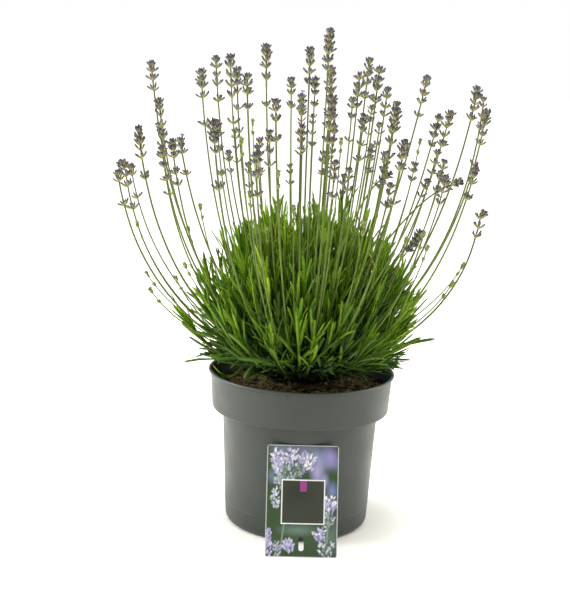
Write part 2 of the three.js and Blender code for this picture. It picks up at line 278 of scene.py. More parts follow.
# %% Helpers for materials
def rgb(red, green, blue):
    """An opaque colour."""
    return (red, green, blue, 1.0)


def new_material(name, roughness, specular=0.5):
    """A material with its node tree and its Principled shader."""
    material = bpy.data.materials.new(name)
    material.use_nodes = True
    shader = material.node_tree.nodes["Principled BSDF"]
    shader.inputs["Roughness"].default_value = roughness
    shader.inputs["Specular IOR Level"].default_value = specular
    return material, material.node_tree, shader


def use_group(tree, group, **values):
    """A node that stands for a group, with its own values. An underscore in a name stands for a space."""
    node = tree.nodes.new("ShaderNodeGroup")
    node.node_tree = group
    for key, value in values.items():
        node.inputs[key.replace("_", " ")].default_value = value
    return node


def patchy(tree, scale, sharpness, colour_a, colour_b):
    """A colour that wanders between two (red, green, blue) colours."""
    node = use_group(
        tree, patches, Scale=scale, Sharpness=sharpness, Colour_A=rgb(*colour_a), Colour_B=rgb(*colour_b)
    )
    return node.outputs["Colour"]


def mixed(tree, factor, colour_a, colour_b, blend="MIX"):
    """A colour mix; each argument is a node's output or a plain value."""
    node = add_node(tree, "ShaderNodeMix", {"data_type": "RGBA", "blend_type": blend})
    for key, given in (("Factor", factor), ("A", colour_a), ("B", colour_b)):
        socket = node.inputs[key]
        if isinstance(given, bpy.types.NodeSocket):
            tree.links.new(given, socket)
        else:
            socket.default_value = given
    return node.outputs["Result"]


def multiplied(tree, colour_a, colour_b):
    """Two colours multiplied, so that the second one shades or tints the first."""
    return mixed(tree, 1.0, colour_a, colour_b, "MULTIPLY")


def mesh_value(tree, name):
    """A number stored on the mesh."""
    return add_node(tree, "ShaderNodeAttribute", {"attribute_name": name}).outputs["Fac"]


def ramp(tree, name, *stops):
    """A colour ramp along a number stored on the mesh, through (place, red, green, blue) stops."""
    node = tree.nodes.new("ShaderNodeValToRGB")
    elements = node.color_ramp.elements
    while len(elements) < len(stops):
        elements.new(1.0)
    for element, (place, *colour) in zip(elements, stops):
        element.position = place
        element.color = rgb(*colour)
    tree.links.new(mesh_value(tree, name), node.inputs["Fac"])
    return node.outputs["Color"]


def set_surface(tree, shader, colour, *fine):
    """Links a colour to a shader and, if its scale, strength and depth are given, a fine grain."""
    tree.links.new(colour, shader.inputs["Base Color"])
    if fine:
        scale, strength, depth = fine
        uneven = use_group(tree, grain, Scale=scale, Strength=strength, Depth=depth)
        tree.links.new(uneven.outputs["Normal"], shader.inputs["Normal"])


# %% [markdown]
# ## Pieces and skins
#
# Almost everything on a plant is a skin stretched over rings: a leaf, a flower cup, a stem, a twig of bark.
# A bevelled curve could make some of these, but not one that is flat here and round there. So one helper
# draws the first ring as a circle and extrudes its edge from ring to ring, which makes each shape one closed
# body. A ring is given as the matrix that places a unit circle.

# %% Helpers for shapes
def new_shape():
    """An empty shape with the two numbers that its materials read."""
    shape = bmesh.new()
    shape.verts.layers.float.new("along")
    shape.verts.layers.float.new("tint")
    return shape


def skinned(rings, sides, material=0):
    """A closed skin over rings."""
    shape = new_shape()
    along = shape.verts.layers.float["along"]
    bmesh.ops.create_circle(shape, cap_ends=True, segments=sides, radius=1.0, matrix=rings[0])
    edges = shape.edges[:]
    for number in range(1, len(rings)):
        grown = bmesh.ops.extrude_edge_only(shape, edges=edges)["geom"]
        moved = [item for item in grown if isinstance(item, bmesh.types.BMVert)]
        edges = [item for item in grown if isinstance(item, bmesh.types.BMEdge)]
        step = rings[number] @ rings[number - 1].inverted()
        bmesh.ops.transform(shape, matrix=step, verts=moved)
        for vert in moved:
            vert[along] = number / (len(rings) - 1)
    bmesh.ops.edgeloop_fill(shape, edges=edges)
    bmesh.ops.recalc_face_normals(shape, faces=shape.faces[:])
    for face in shape.faces:
        face.material_index = material
        face.smooth = True
    return shape


def frame_matrix(axis_x, axis_y, axis_z, place):
    """The matrix with these columns."""
    return Matrix((
        (axis_x.x, axis_y.x, axis_z.x, place.x),
        (axis_x.y, axis_y.y, axis_z.y, place.y),
        (axis_x.z, axis_y.z, axis_z.z, place.z),
        (0.0, 0.0, 0.0, 1.0),
    ))


def level_way(angle):
    """The level vector of length 1 at an angle from the X axis."""
    return Vector((math.cos(angle), math.sin(angle), 0.0))


def level_side(way):
    """A level vector square to the heading of a way."""
    heading = math.atan2(way.y, way.x)
    return Vector((-math.sin(heading), math.cos(heading), 0.0))


def ring_at(place, direction, side, width, depth=None):
    """The matrix of a ring: its centre, the way the skin runs, the way its width lies, its half sizes."""
    forward = direction.normalized()
    across = (side - forward * side.dot(forward)).normalized()
    deep = forward.cross(across)
    deep *= width if depth is None else depth
    return frame_matrix(across * width, deep, forward, place)


def tube(path, radii, side, sides=6, material=0):
    """A closed tube along a path."""
    rings = []
    for number, place in enumerate(path):
        ahead = path[min(number + 1, len(path) - 1)] - path[max(number - 1, 0)]
        rings.append(ring_at(place, ahead, side, radii[number]))
    return skinned(rings, sides, material)


def arched(start_point, middle, end_point, steps):
    """A path from one point to another, drawn towards a middle."""
    shares = [step / steps for step in range(steps + 1)]
    return [start_point * (1 - t) ** 2 + middle * 2 * t * (1 - t) + end_point * t ** 2 for t in shares]


def clamped(value):
    """The value, kept between 0 and 1."""
    return min(1.0, max(0.0, value))


def mesh_of(shape, name="part"):
    """The shape as a mesh. The shape itself is freed."""
    mesh = bpy.data.meshes.new(name)
    shape.to_mesh(mesh)
    shape.free()
    return mesh


def add_copy(target, mesh, matrix=None, tint=None):
    """Adds a mesh to a shape, moved by the matrix and given one tint."""
    first = len(target.verts)
    target.from_mesh(mesh)
    target.verts.ensure_lookup_table()
    fresh = target.verts[first:]
    if matrix is not None:
        bmesh.ops.transform(target, matrix=matrix, verts=fresh)
    if tint is not None:
        layer = target.verts.layers.float["tint"]
        for vert in fresh:
            vert[layer] = tint


def add_shape(target, shape, tint=None):
    """Adds a shape that is already in place, and frees it."""
    mesh = mesh_of(shape)
    add_copy(target, mesh, tint=tint)
    bpy.data.meshes.remove(mesh)


def as_piece(name, shape, materials, replaces=()):
    """Turns a finished shape into a piece that rides with the part."""
    mesh = mesh_of(shape, name)
    for material in materials:
        mesh.materials.append(material)
    piece = bpy.data.objects.new(name, mesh)
    bpy.context.scene.collection.objects.link(piece)
    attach(piece, "root")
    if replaces:
        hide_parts(*replaces)
    return piece


# %% [markdown]
# ## Floor
#
# The pot stands on a plain pale floor that reaches past the picture's edges, so that its soft shadow shows.
# A curved backdrop could hide the horizon. Here a little light of the floor's own does, growing with the
# distance from the pot, so the floor is white far off and still has a shadow near by. It is a stage and not
# part of the object.

# %% Floor
GLOW_STARTS = 0.08
GLOW_FULL = 0.19
GLOW_NEAR = 0.03
GLOW_FAR = 0.6
FLOOR_HALF_SIZE = 9.0

floor_finish, tree, shader = new_material("floor_white", 0.9, 0.0)
set_surface(tree, shader, patchy(tree, 3.0, 2.0, (0.80, 0.78, 0.71), (0.83, 0.81, 0.75)))
where = add_node(tree, "ShaderNodeTexCoord")
distance = add_node(tree, "ShaderNodeVectorMath", {"operation": "LENGTH"})
glow = add_node(
    tree, "ShaderNodeMapRange", {"interpolation_type": "SMOOTHSTEP"},
    {"From Min": GLOW_STARTS, "From Max": GLOW_FULL, "To Min": GLOW_NEAR, "To Max": GLOW_FAR},
)
connect(
    tree,
    (where.outputs["Object"], distance.inputs[0]),
    (distance.outputs["Value"], glow.inputs["Value"]),
    (glow.outputs["Result"], shader.inputs["Emission Strength"]),
)
shader.inputs["Emission Color"].default_value = rgb(1.0, 0.99, 0.97)
floor_shape = bmesh.new()
bmesh.ops.create_grid(floor_shape, x_segments=8, y_segments=8, size=FLOOR_HALF_SIZE)
floor = bpy.data.objects.new("floor", mesh_of(floor_shape, "floor"))
floor.data.materials.append(floor_finish)
bpy.context.scene.collection.objects.link(floor)
print("floor:", [round(d, 1) for d in floor.dimensions])

# %% [markdown]
# ## Pot
#
# The pot is injection-moulded plastic: a slightly tapered body, a wide collar for stacking, and a rolled
# lip. Cylinders could be stacked, but such a shape is really one profile turned round an axis. So its
# outline is drawn once, with arcs where it is round, and spun in many steps, which keeps the edge smooth.
# Eight drain holes are bored through the floor with a boolean. The plastic is a satin grey that varies a
# little in colour and gloss, with some dust on it.

# %% Pot sizes, taken from the part
pot_low, pot_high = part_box("pot")
POT_HEIGHT = pot_high.z
LIP_RADIUS = (pot_high.x - pot_low.x) / 2
WALL = 1.5 * MM
FLOOR_THICKNESS = 2.4 * MM
BASE_RADIUS = LIP_RADIUS - 21.5 * MM
BASE_ROUND = 8.0 * MM
WAIST_RADIUS = LIP_RADIUS - 15.5 * MM
COLLAR_BOTTOM = POT_HEIGHT - 40.0 * MM
COLLAR_LOWER_RADIUS = LIP_RADIUS - 4.5 * MM
COLLAR_ROUND = 2.5 * MM
LIP_BEAD = 1.5 * MM
MOULD_LINE_HEIGHT = 22.0 * MM
MOULD_LINE_DEPTH = 0.25 * MM
EDGE_HOLD = 0.8 * MM  # an extra ring this near to an edge keeps the shading of a long wall flat
SPIN_STEPS = 144
print("pot:", round(LIP_RADIUS * 2 / MM), "mm across,", round(POT_HEIGHT / MM), "mm high")

# %% Helpers for turned shapes
WELD_DISTANCE = 0.005 * MM


def arc(centre, radius, first, last, steps):
    """Points of an arc in the (radius, height) plane, angles in degrees."""
    angles = [math.radians(first + (last - first) * step / steps) for step in range(steps + 1)]
    return [(centre[0] + radius * math.cos(a), centre[1] + radius * math.sin(a)) for a in angles]


def turned(profile, steps):
    """A closed outline of (radius, height) pairs spun round the Z axis."""
    shape = new_shape()
    verts = [shape.verts.new((radius, 0.0, height)) for radius, height in profile]
    edges = [shape.edges.new(pair) for pair in zip(verts, verts[1:])]
    bmesh.ops.spin(
        shape, geom=verts + edges, cent=(0, 0, 0), axis=(0, 0, 1), angle=2 * math.pi,
        steps=steps, use_merge=True, use_duplicate=False,
    )
    bmesh.ops.remove_doubles(shape, verts=shape.verts[:], dist=WELD_DISTANCE)
    bmesh.ops.recalc_face_normals(shape, faces=shape.faces[:])
    for face in shape.faces:
        face.smooth = True
    return shape


# %% Pot finish
pot_finish, tree, shader = new_material("pot_plastic", 0.42, 0.44)
body_colour = patchy(tree, 14.0, 1.5, (0.022, 0.029, 0.0235), (0.027, 0.034, 0.028))
dust = use_group(tree, specks, Scale=120.0, Size=0.05)
dusted = mixed(tree, dust.outputs["Mask"], body_colour, rgb(0.075, 0.070, 0.058))
set_surface(tree, shader, dusted, 900.0, 0.12, 0.1 * MM)
scuffs = patchy(tree, 35.0, 2.5, (0.38, 0.38, 0.38), (0.5, 0.5, 0.5))
tree.links.new(scuffs, shader.inputs["Roughness"])
print("finish:", pot_finish.name)

# %% Pot body
MOULD_LINE_HALF = 0.6 * MM
WAIST_FILLET = 0.8 * MM
FLOOR_MIDDLE = BASE_RADIUS * 0.4
lip_centre = (LIP_RADIUS - LIP_BEAD, POT_HEIGHT - LIP_BEAD)
foot_centre = (BASE_RADIUS - BASE_ROUND, BASE_ROUND)
collar_top_radius = LIP_RADIUS - 2.2 * MM


def on_body(height):
    """The (radius, height) of the tapered body at a height."""
    share = (height - BASE_ROUND) / (COLLAR_BOTTOM - BASE_ROUND)
    return BASE_RADIUS + (WAIST_RADIUS - BASE_RADIUS) * share, height


line_low = MOULD_LINE_HEIGHT - MOULD_LINE_HALF
line_high = MOULD_LINE_HEIGHT + MOULD_LINE_HALF
profile = [(0.0, 0.0), (FLOOR_MIDDLE, 0.0)]
profile += arc(foot_centre, BASE_ROUND, -90, 0, 8)
profile += [
    on_body(line_low - EDGE_HOLD),
    on_body(line_low),
    (on_body(MOULD_LINE_HEIGHT)[0] + MOULD_LINE_DEPTH, MOULD_LINE_HEIGHT),
    on_body(line_high),
    on_body(line_high + EDGE_HOLD),
    on_body(COLLAR_BOTTOM * 0.6),
    on_body(COLLAR_BOTTOM - WAIST_FILLET - EDGE_HOLD),
    (WAIST_RADIUS, COLLAR_BOTTOM - WAIST_FILLET),
    (WAIST_RADIUS + WAIST_FILLET, COLLAR_BOTTOM),
]
profile += arc(
    (COLLAR_LOWER_RADIUS - COLLAR_ROUND, COLLAR_BOTTOM + COLLAR_ROUND), COLLAR_ROUND, -90, 0, 6
)
profile += [(collar_top_radius, POT_HEIGHT - 2 * LIP_BEAD - 0.6 * MM)]
profile += arc(lip_centre, LIP_BEAD, -60, 180, 12)
profile += [
    (LIP_RADIUS - 2 * LIP_BEAD - 0.3 * MM, POT_HEIGHT - 2.2 * LIP_BEAD),
    (COLLAR_LOWER_RADIUS - WALL, COLLAR_BOTTOM + COLLAR_ROUND + WALL),
    (COLLAR_LOWER_RADIUS - COLLAR_ROUND, COLLAR_BOTTOM + WALL),
    (WAIST_RADIUS - WALL, COLLAR_BOTTOM + WALL),
    (BASE_RADIUS - WALL, BASE_ROUND),
    (BASE_RADIUS - BASE_ROUND, FLOOR_THICKNESS),
    (FLOOR_MIDDLE, FLOOR_THICKNESS),
    (0.0, FLOOR_THICKNESS),
]
pot = as_piece("grower_pot", turned(profile, SPIN_STEPS), [pot_finish], ["pot"])
pot.data.set_sharp_from_angle(angle=math.radians(35.0))
print("pot faces:", len(pot.data.polygons))

# %% Drain holes
DRAIN_HOLES = 8
DRAIN_HOLE_RADIUS = 4.5 * MM
DRAIN_CIRCLE_RADIUS = 52.0 * MM
drills = new_shape()
for number in range(DRAIN_HOLES):
    angle = 2 * math.pi * (number + 0.5) / DRAIN_HOLES
    place = Matrix.Rotation(angle, 4, "Z") @ Matrix.Translation((DRAIN_CIRCLE_RADIUS, 0, 0))
    bmesh.ops.create_cone(
        drills, cap_ends=True, segments=24, radius1=DRAIN_HOLE_RADIUS, radius2=DRAIN_HOLE_RADIUS,
        depth=6 * FLOOR_THICKNESS, matrix=place,
    )
drill_object = bpy.data.objects.new("drills", mesh_of(drills))
bpy.context.scene.collection.objects.link(drill_object)
bore = pot.modifiers.new("bore", "BOOLEAN")
bore.operation = "DIFFERENCE"
bore.solver = "EXACT"
bore.object = drill_object
bored = bpy.data.meshes.new_from_object(pot.evaluated_get(bpy.context.evaluated_depsgraph_get()))
pot.modifiers.remove(bore)
pot.data = bored
bpy.data.objects.remove(drill_object)
print("pot faces with its holes:", len(pot.data.polygons))

# %% [markdown]
# ## Compost
#
# Compost is dark peat with paler fibres, bark chips and crumbs, and its top is never flat. A bump texture
# could fake that, but its edge against the rim would stay a clean line. So the body is turned like the pot's
# inside, its top is pushed up and down by noise, and crumbs, fibres and chips are scattered on it. The
# crumbs are four lumpy balls, copied with a turn and a size of their own. The peat's colour is sharp-edged
# patches of dark and pale, and a crumb's or a fibre's own shade is its `tint`.

# %% Compost finishes
peat_finish, tree, shader = new_material("peat", 0.95, 0.15)
peat_colour = patchy(tree, 150.0, 5.0, (0.028, 0.024, 0.010), (0.22, 0.175, 0.075))
with_crumbs = mixed(tree, mesh_value(tree, "tint"), peat_colour, rgb(0.30, 0.22, 0.095))
set_surface(tree, shader, with_crumbs, 1400.0, 0.9, 0.8 * MM)

fibre_finish, tree, shader = new_material("dry_fibre", 0.8, 0.25)
fibre_colour = ramp(
    tree, "tint",
    (0.0, 0.15, 0.085, 0.035), (0.6, 0.36, 0.25, 0.10), (1.0, 0.60, 0.48, 0.22),
)
fibre_patches = patchy(tree, 500.0, 3.0, (0.75, 0.75, 0.75), (1.0, 1.0, 1.0))
set_surface(tree, shader, multiplied(tree, fibre_colour, fibre_patches), 1800.0, 0.5, 0.3 * MM)
print("finishes:", peat_finish.name, fibre_finish.name)

# %% Compost body
GAP = 0.3 * MM
SOIL_EDGE_RADIUS = COLLAR_LOWER_RADIUS - WALL - GAP
SOIL_EDGE_HEIGHT = POT_HEIGHT - 19.0 * MM
SOIL_MOUND_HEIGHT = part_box("potting_soil")[1].z
SOIL_RINGS = 26
SOIL_STEPS = 120
LUMPS = 55.0  # how closely the lumps of the top lie
LUMP_HEIGHT = 3.4  # in mm
CLODS = 190.0
CLOD_HEIGHT = 1.8  # in mm


def soil_height(radius):
    """Height of the compost's top, before its roughness."""
    share = min(1.0, radius / SOIL_EDGE_RADIUS)
    return SOIL_MOUND_HEIGHT + (SOIL_EDGE_HEIGHT - SOIL_MOUND_HEIGHT) * share


def soil_roughness(x, y):
    """How far the compost's top is above or below its plain height."""
    coarse = noise.noise(Vector((x, y, 0.0)) * LUMPS) * LUMP_HEIGHT * MM
    fine = noise.noise(Vector((x, y, 5.0)) * CLODS) * CLOD_HEIGHT * MM
    return coarse + fine


profile = [
    (0.0, FLOOR_THICKNESS + GAP),
    (BASE_RADIUS - BASE_ROUND - GAP, FLOOR_THICKNESS + GAP),
    (BASE_RADIUS - WALL - GAP, BASE_ROUND + GAP),
    (WAIST_RADIUS - WALL - GAP, COLLAR_BOTTOM + WALL + GAP),
    (COLLAR_LOWER_RADIUS - COLLAR_ROUND - GAP, COLLAR_BOTTOM + WALL + GAP),
    (SOIL_EDGE_RADIUS, COLLAR_BOTTOM + COLLAR_ROUND + WALL + GAP),
]
for step in range(SOIL_RINGS + 1):
    radius = SOIL_EDGE_RADIUS * (1 - step / SOIL_RINGS)
    profile.append((radius, soil_height(radius)))
soil_shape = turned(profile, SOIL_STEPS)
for vert in soil_shape.verts:
    if vert.co.z > SOIL_EDGE_HEIGHT - 1.0 * MM:
        vert.co.z += soil_roughness(vert.co.x, vert.co.y)
print("compost faces:", len(soil_shape.faces))

# %% Crumbs
CRUMB_FORMS = 4
CRUMB_HEAPS = 13  # the crumbs are gathered in heaps, because small shapes are quicker to add to
CRUMBS_IN_HEAP = 100
CRUMB_SIZES = (0.5, 0.7, 0.9, 1.2, 1.8, 2.4)  # radii in mm
dice = random.Random(11)


def crumb_mesh(form):
    """A lumpy ball of radius 1."""
    lump = new_shape()
    bmesh.ops.create_icosphere(lump, subdivisions=1, radius=1.0)
    for vert in lump.verts:
        vert.co *= 1.0 + 0.45 * noise.noise(vert.co * 1.3 + Vector((form * 7.0, 0, 0)))
    for face in lump.faces:
        face.smooth = True
    return mesh_of(lump)


def random_turn():
    """A turn by any angle about a random axis."""
    return Matrix.Rotation(dice.uniform(0, 2 * math.pi), 4, Vector((dice.gauss(0, 1), dice.gauss(0, 1), 1)))


def on_soil(x, y, lift=0.0):
    """A point on the compost, or lifted off it."""
    return Vector((x, y, soil_height(math.hypot(x, y)) + soil_roughness(x, y) + lift))


def scatter_place(inner, outer):
    """A random place on the compost between two radii."""
    radius = math.sqrt(dice.uniform(inner ** 2, outer ** 2))
    angle = dice.uniform(0, 2 * math.pi)
    return on_soil(radius * math.cos(angle), radius * math.sin(angle))


crumb_meshes = [crumb_mesh(form) for form in range(CRUMB_FORMS)]
for _ in range(CRUMB_HEAPS):
    heap = new_shape()
    for _ in range(CRUMBS_IN_HEAP):
        place = scatter_place(12 * MM, SOIL_EDGE_RADIUS - 2 * MM)
        size = dice.choice(CRUMB_SIZES) * MM
        stretch = Matrix.Diagonal((size, size * dice.uniform(0.6, 1.2), size * dice.uniform(0.5, 0.9), 1.0))
        matrix = Matrix.Translation(place) @ random_turn() @ stretch
        add_copy(heap, dice.choice(crumb_meshes), matrix, dice.choice((0.0, 0.1, 0.25, 0.5, 0.9)))
    add_shape(soil_shape, heap)
print("crumbs:", CRUMB_HEAPS * CRUMBS_IN_HEAP)

# %% Crumbs that lie on the lip and cling to the collar
STRAY_CRUMBS = (
    # angle round the pot in degrees, height above the base and size in mm
    (183, 160.5, 1.6), (186, 160.6, 1.0), (189, 160.3, 1.3), (192, 158.5, 0.9), (179, 160.3, 0.8),
    (215, 152.0, 0.5), (226, 146.0, 0.45), (243, 150.0, 0.4), (288, 149.0, 0.5), (252, 139.0, 0.35),
    (276, 160.4, 0.7), (301, 160.3, 0.6), (352, 160.4, 0.7),
)
for angle, height, size in STRAY_CRUMBS:
    share = (height * MM - COLLAR_BOTTOM) / (POT_HEIGHT - COLLAR_BOTTOM)
    radius = COLLAR_LOWER_RADIUS + (collar_top_radius - COLLAR_LOWER_RADIUS) * share
    if height * MM > POT_HEIGHT:
        radius = LIP_RADIUS - LIP_BEAD
    turn = math.radians(angle)
    place = Matrix.Translation((radius * math.cos(turn), radius * math.sin(turn), height * MM))
    add_copy(soil_shape, dice.choice(crumb_meshes), place @ random_turn() @ Matrix.Scale(size * MM, 4), 0.1)
as_piece("compost", soil_shape, [peat_finish], ["potting_soil"])
print("crumbs on the lip and collar:", len(STRAY_CRUMBS))

# %% Fibres
FIBRES = 520


def bowed(start_point, end_point, bow, steps):
    """A path from one point to another, bowed by a vector at its middle."""
    return arched(start_point, (start_point + end_point) / 2 + bow * 2, end_point, steps)


litter = new_shape()
for number in range(FIBRES):
    first = scatter_place(20 * MM, SOIL_EDGE_RADIUS - 4 * MM)
    heading = dice.uniform(0, 2 * math.pi)
    reach = dice.uniform(4, 15) * MM
    last = first + Vector((math.cos(heading), math.sin(heading), dice.uniform(-0.05, 0.18))) * reach
    if Vector((last.x, last.y)).length > SOIL_EDGE_RADIUS - 2 * MM:
        continue
    bow = Vector((dice.gauss(0, 1), dice.gauss(0, 1), abs(dice.gauss(0, 1)))) * reach * 0.08
    lifted = UP * 0.5 * MM
    radius = dice.uniform(0.13, 0.32) * MM
    path = bowed(first + lifted, last + lifted, bow, 5)
    fibre = tube(path, [radius] * 4 + [radius * 0.8, radius * 0.4], UP, sides=3)
    add_shape(litter, fibre, dice.uniform(0.35, 1.0))
print("litter faces with the fibres:", len(litter.faces))

# %% Bark chips and a dry twig
SMALL_CHIPS = 26
LARGE_CHIPS = (
    # place and lift in mm, heading in degrees, length and width in mm, tint
    ((33, -9, 3.5), -16, 20, 8.0, 0.5),
    ((24, -4, 5.0), 100, 10, 5.0, 0.75),
    ((-32, 2, 3.5), 8, 12, 4.5, 0.8),
)
DRY_TWIG = ((-17, -20, 23), (-15, -22, 16), (-12, -24, 9), (-11, -30, 1.5))  # places and lifts in mm
DRY_TWIG_RADII = (0.5, 0.7, 0.8, 1.1)


def bark_chip(centre, heading, length, width, tint):
    """A torn flake of bark, thick in the middle and ragged at its ends."""
    direction = Vector((math.cos(heading), math.sin(heading), 0.12))
    side = Vector((-math.sin(heading), math.cos(heading), 0.0))
    rings = []
    for share, size in ((-0.5, 0.25), (-0.38, 0.7), (-0.1, 1.0), (0.2, 0.85), (0.42, 0.5), (0.5, 0.12)):
        place = centre + direction * length * share + side * dice.uniform(-0.1, 0.1) * width
        rings.append(ring_at(place, direction, side, size * width / 2, size * width * 0.3))
    add_shape(litter, skinned(rings, 6), tint)


for place, heading, length, width, tint in LARGE_CHIPS:
    bark_chip(on_soil(*(c * MM for c in place)), math.radians(heading), length * MM, width * MM, tint)
for number in range(SMALL_CHIPS):
    spot = scatter_place(25 * MM, SOIL_EDGE_RADIUS - 8 * MM) + UP * 0.8 * MM
    heading = dice.uniform(0, 6.28)
    length = dice.uniform(3, 9) * MM
    width = dice.uniform(1.5, 3.5) * MM
    bark_chip(spot, heading, length, width, dice.uniform(0, 0.7))

dry_twig = [on_soil(*(c * MM for c in place)) for place in DRY_TWIG]
add_shape(litter, tube(dry_twig, [radius * MM for radius in DRY_TWIG_RADII], SIDEWAYS), 0.55)
as_piece("bark_and_fibres", litter, [fibre_finish])
print("bark chips:", SMALL_CHIPS + len(LARGE_CHIPS))

# %% A root hair that hangs over the lip
hair_finish, tree, shader = new_material("root_hair", 0.8, 0.2)
set_surface(tree, shader, patchy(tree, 400.0, 2.0, (0.03, 0.022, 0.012), (0.07, 0.05, 0.03)))
HAIR_ANGLE = math.radians(-101)  # round the pot
HAIR_POINTS = (
    # out from the lip, sideways, and up from the lip, in mm
    (-5.0, 0.0, -4.0), (-1.5, 0.0, 0.3), (0.3, 1.5, -1.5), (-1.2, 4.0, -7.0),
)
hair_way = level_way(HAIR_ANGLE)
hair_path = []
for outward, sideways, upward in HAIR_POINTS:
    level = hair_way * (LIP_RADIUS + outward * MM) + SIDEWAYS * sideways * MM
    hair_path.append(level + UP * (POT_HEIGHT + upward * MM))
hair_shape = tube(hair_path, [0.25 * MM] * 3 + [0.15 * MM], SIDEWAYS, sides=5)
as_piece("root_hair", hair_shape, [hair_finish])
print("root hair:", len(hair_path), "points")

# %% [markdown]
# ## Woody crown
#
# A lavender of this age has a short trunk that forks just above the compost. It could be sculpted, but
# little of it shows between the leaves, so the trunk and each branch are plain skins over a few uneven
# rings, in patchy grey-brown bark with a deep grain. The branches end where the leafy shoots begin.

# %% Crown
bark_finish, tree, shader = new_material("bark", 0.85, 0.2)
bark_colour = patchy(tree, 300.0, 3.0, (0.07, 0.045, 0.022), (0.17, 0.12, 0.07))
set_surface(tree, shader, bark_colour, 900.0, 0.8, 0.6 * MM)

FORK = Vector((0.0, 0.0, POT_HEIGHT - 8 * MM))
TRUNK_RINGS = (
    # height in metres, radius in mm
    (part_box("woody_crown")[0].z, 5.4), (SOIL_MOUND_HEIGHT - 8 * MM, 8.6), (SOIL_MOUND_HEIGHT, 9.0),
    (SOIL_MOUND_HEIGHT + 4 * MM, 8.2), (FORK.z, 7.0), (FORK.z + 5 * MM, 4.0),
)
BRANCH_RADII = (3.0, 2.6, 2.3, 2.0, 1.7, 1.4)  # in mm, from the fork outwards

trunk_rings = []
for height, radius in TRUNK_RINGS:
    centre = Vector((dice.uniform(-0.4, 0.4) * MM, dice.uniform(-0.4, 0.4) * MM, height))
    trunk_rings.append(ring_at(centre, UP, SIDEWAYS, radius * MM))
crown_shape = skinned(trunk_rings, 12)

shoot_names = sorted(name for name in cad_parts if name.startswith("leafy_shoot"))
shoot_ways = {}
for name in shoot_names:
    low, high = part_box(name)
    way = (low + high) / 2 - FORK
    shoot_ways[name] = way.normalized()
    knee = FORK + way * 0.14 + UP * 3 * MM
    foot = FORK + way * 0.3
    branch = bowed(FORK - UP * 4 * MM, foot, (knee - (FORK + foot) / 2) * 0.5, 5)
    add_shape(crown_shape, tube(branch, [radius * MM for radius in BRANCH_RADII], level_side(way), sides=7))
as_piece("trunk_and_branches", crown_shape, [bark_finish], ["woody_crown"])
print("branches:", len(shoot_names))

# %% [markdown]
# ## Leaves
#
# Lavender leaves are long and narrow with a rolled edge, broadest past the middle and blunt at the tip. A
# flat card with a cut-out picture would be lighter, but it has no thickness and shows at the edge of the
# bush. Thousands are needed, so each is a four-sided skin over only six rings. A dozen different leaves are
# made first: straight, arched, sickle-shaped and twisted. The copies take their length and width from where
# they grow. Their green follows their age: old leaves are dark and bluish, young ones a pale yellow-green.

# %% Leaf finish
leaf_finish, tree, shader = new_material("leaf", 0.5, 0.13)
shade = ramp(
    tree, "tint",
    (0.0, 0.058, 0.108, 0.036), (0.3, 0.076, 0.155, 0.014),
    (0.65, 0.140, 0.265, 0.008), (1.0, 0.300, 0.430, 0.020),
)
veins = patchy(tree, 220.0, 2.5, (0.72, 0.78, 0.7), (1.12, 1.08, 1.1))
foot_fade = ramp(tree, "along", (0.0, 0.72, 0.77, 0.65), (0.45, 1, 1, 1), (1.0, 1, 1, 1))
leaf_colour = multiplied(tree, multiplied(tree, shade, veins), foot_fade)
set_surface(tree, shader, leaf_colour, 1600.0, 0.35, 0.15 * MM)

twig_finish, tree, shader = new_material("twig", 0.65, 0.25)
twig_colour = ramp(
    tree, "along",
    (0.0, 0.035, 0.030, 0.014), (0.3, 0.06, 0.065, 0.022), (0.7, 0.11, 0.17, 0.03), (1.0, 0.14, 0.24, 0.03),
)
twig_patches = patchy(tree, 300.0, 2.0, (0.8, 0.8, 0.8), (1.1, 1.1, 1.1))
set_surface(tree, shader, multiplied(tree, twig_colour, twig_patches), 1500.0, 0.3, 0.2 * MM)
print("finishes:", leaf_finish.name, twig_finish.name)

# %% A dozen leaves of length 1
LEAF_FORMS = 12
LEAF_WIDTH_TO_LENGTH = 0.08  # of a usual leaf, for its bends
LEAF_OUTLINE = ((0.0, 0.36), (0.14, 0.58), (0.38, 0.9), (0.7, 1.0), (0.93, 0.74), (1.0, 0.22))
LEAF_HALF_WIDTH = 0.5  # of a leaf that is 1 wide
LEAF_DEPTH_SHARE = 0.2  # of the half width


def bent_leaf(co, curl, sickle, twist, fold):
    """Where a point of the straight leaf goes when the leaf is folded, twisted and bent."""
    x, y = co.x, co.y + fold * abs(co.x)
    turn = twist * co.z
    x, y = x * math.cos(turn) - y * math.sin(turn), x * math.sin(turn) + y * math.cos(turn)
    bend = curl * co.z
    slide = sickle * co.z ** 2
    y *= LEAF_WIDTH_TO_LENGTH
    return Vector((
        x + slide / LEAF_WIDTH_TO_LENGTH,
        ((1 - math.cos(bend)) / curl + y * math.cos(bend)) / LEAF_WIDTH_TO_LENGTH,
        math.sin(bend) / curl - y * math.sin(bend),
    ))


def leaf_mesh(curl, sickle, twist, fold):
    """A leaf of length 1 and width 1."""
    rings = []
    for place, share in LEAF_OUTLINE:
        half = LEAF_HALF_WIDTH * share
        rings.append(ring_at(UP * place, UP, SIDEWAYS, half, half * LEAF_DEPTH_SHARE))
    leaf = skinned(rings, 4)
    for vert in leaf.verts:
        vert.co = bent_leaf(vert.co, curl, sickle, twist, fold)
    return mesh_of(leaf, "leaf")


dice = random.Random(5)
leaf_meshes = []
for _ in range(LEAF_FORMS):
    leaf_meshes.append(leaf_mesh(
        curl=dice.choice((-0.5, -0.25, 0.12, 0.3, 0.5)),
        sickle=dice.uniform(-0.07, 0.07),
        twist=dice.uniform(-0.9, 0.9),
        fold=dice.uniform(0.15, 0.45),
    ))
print("faces in a leaf:", len(leaf_meshes[0].polygons))

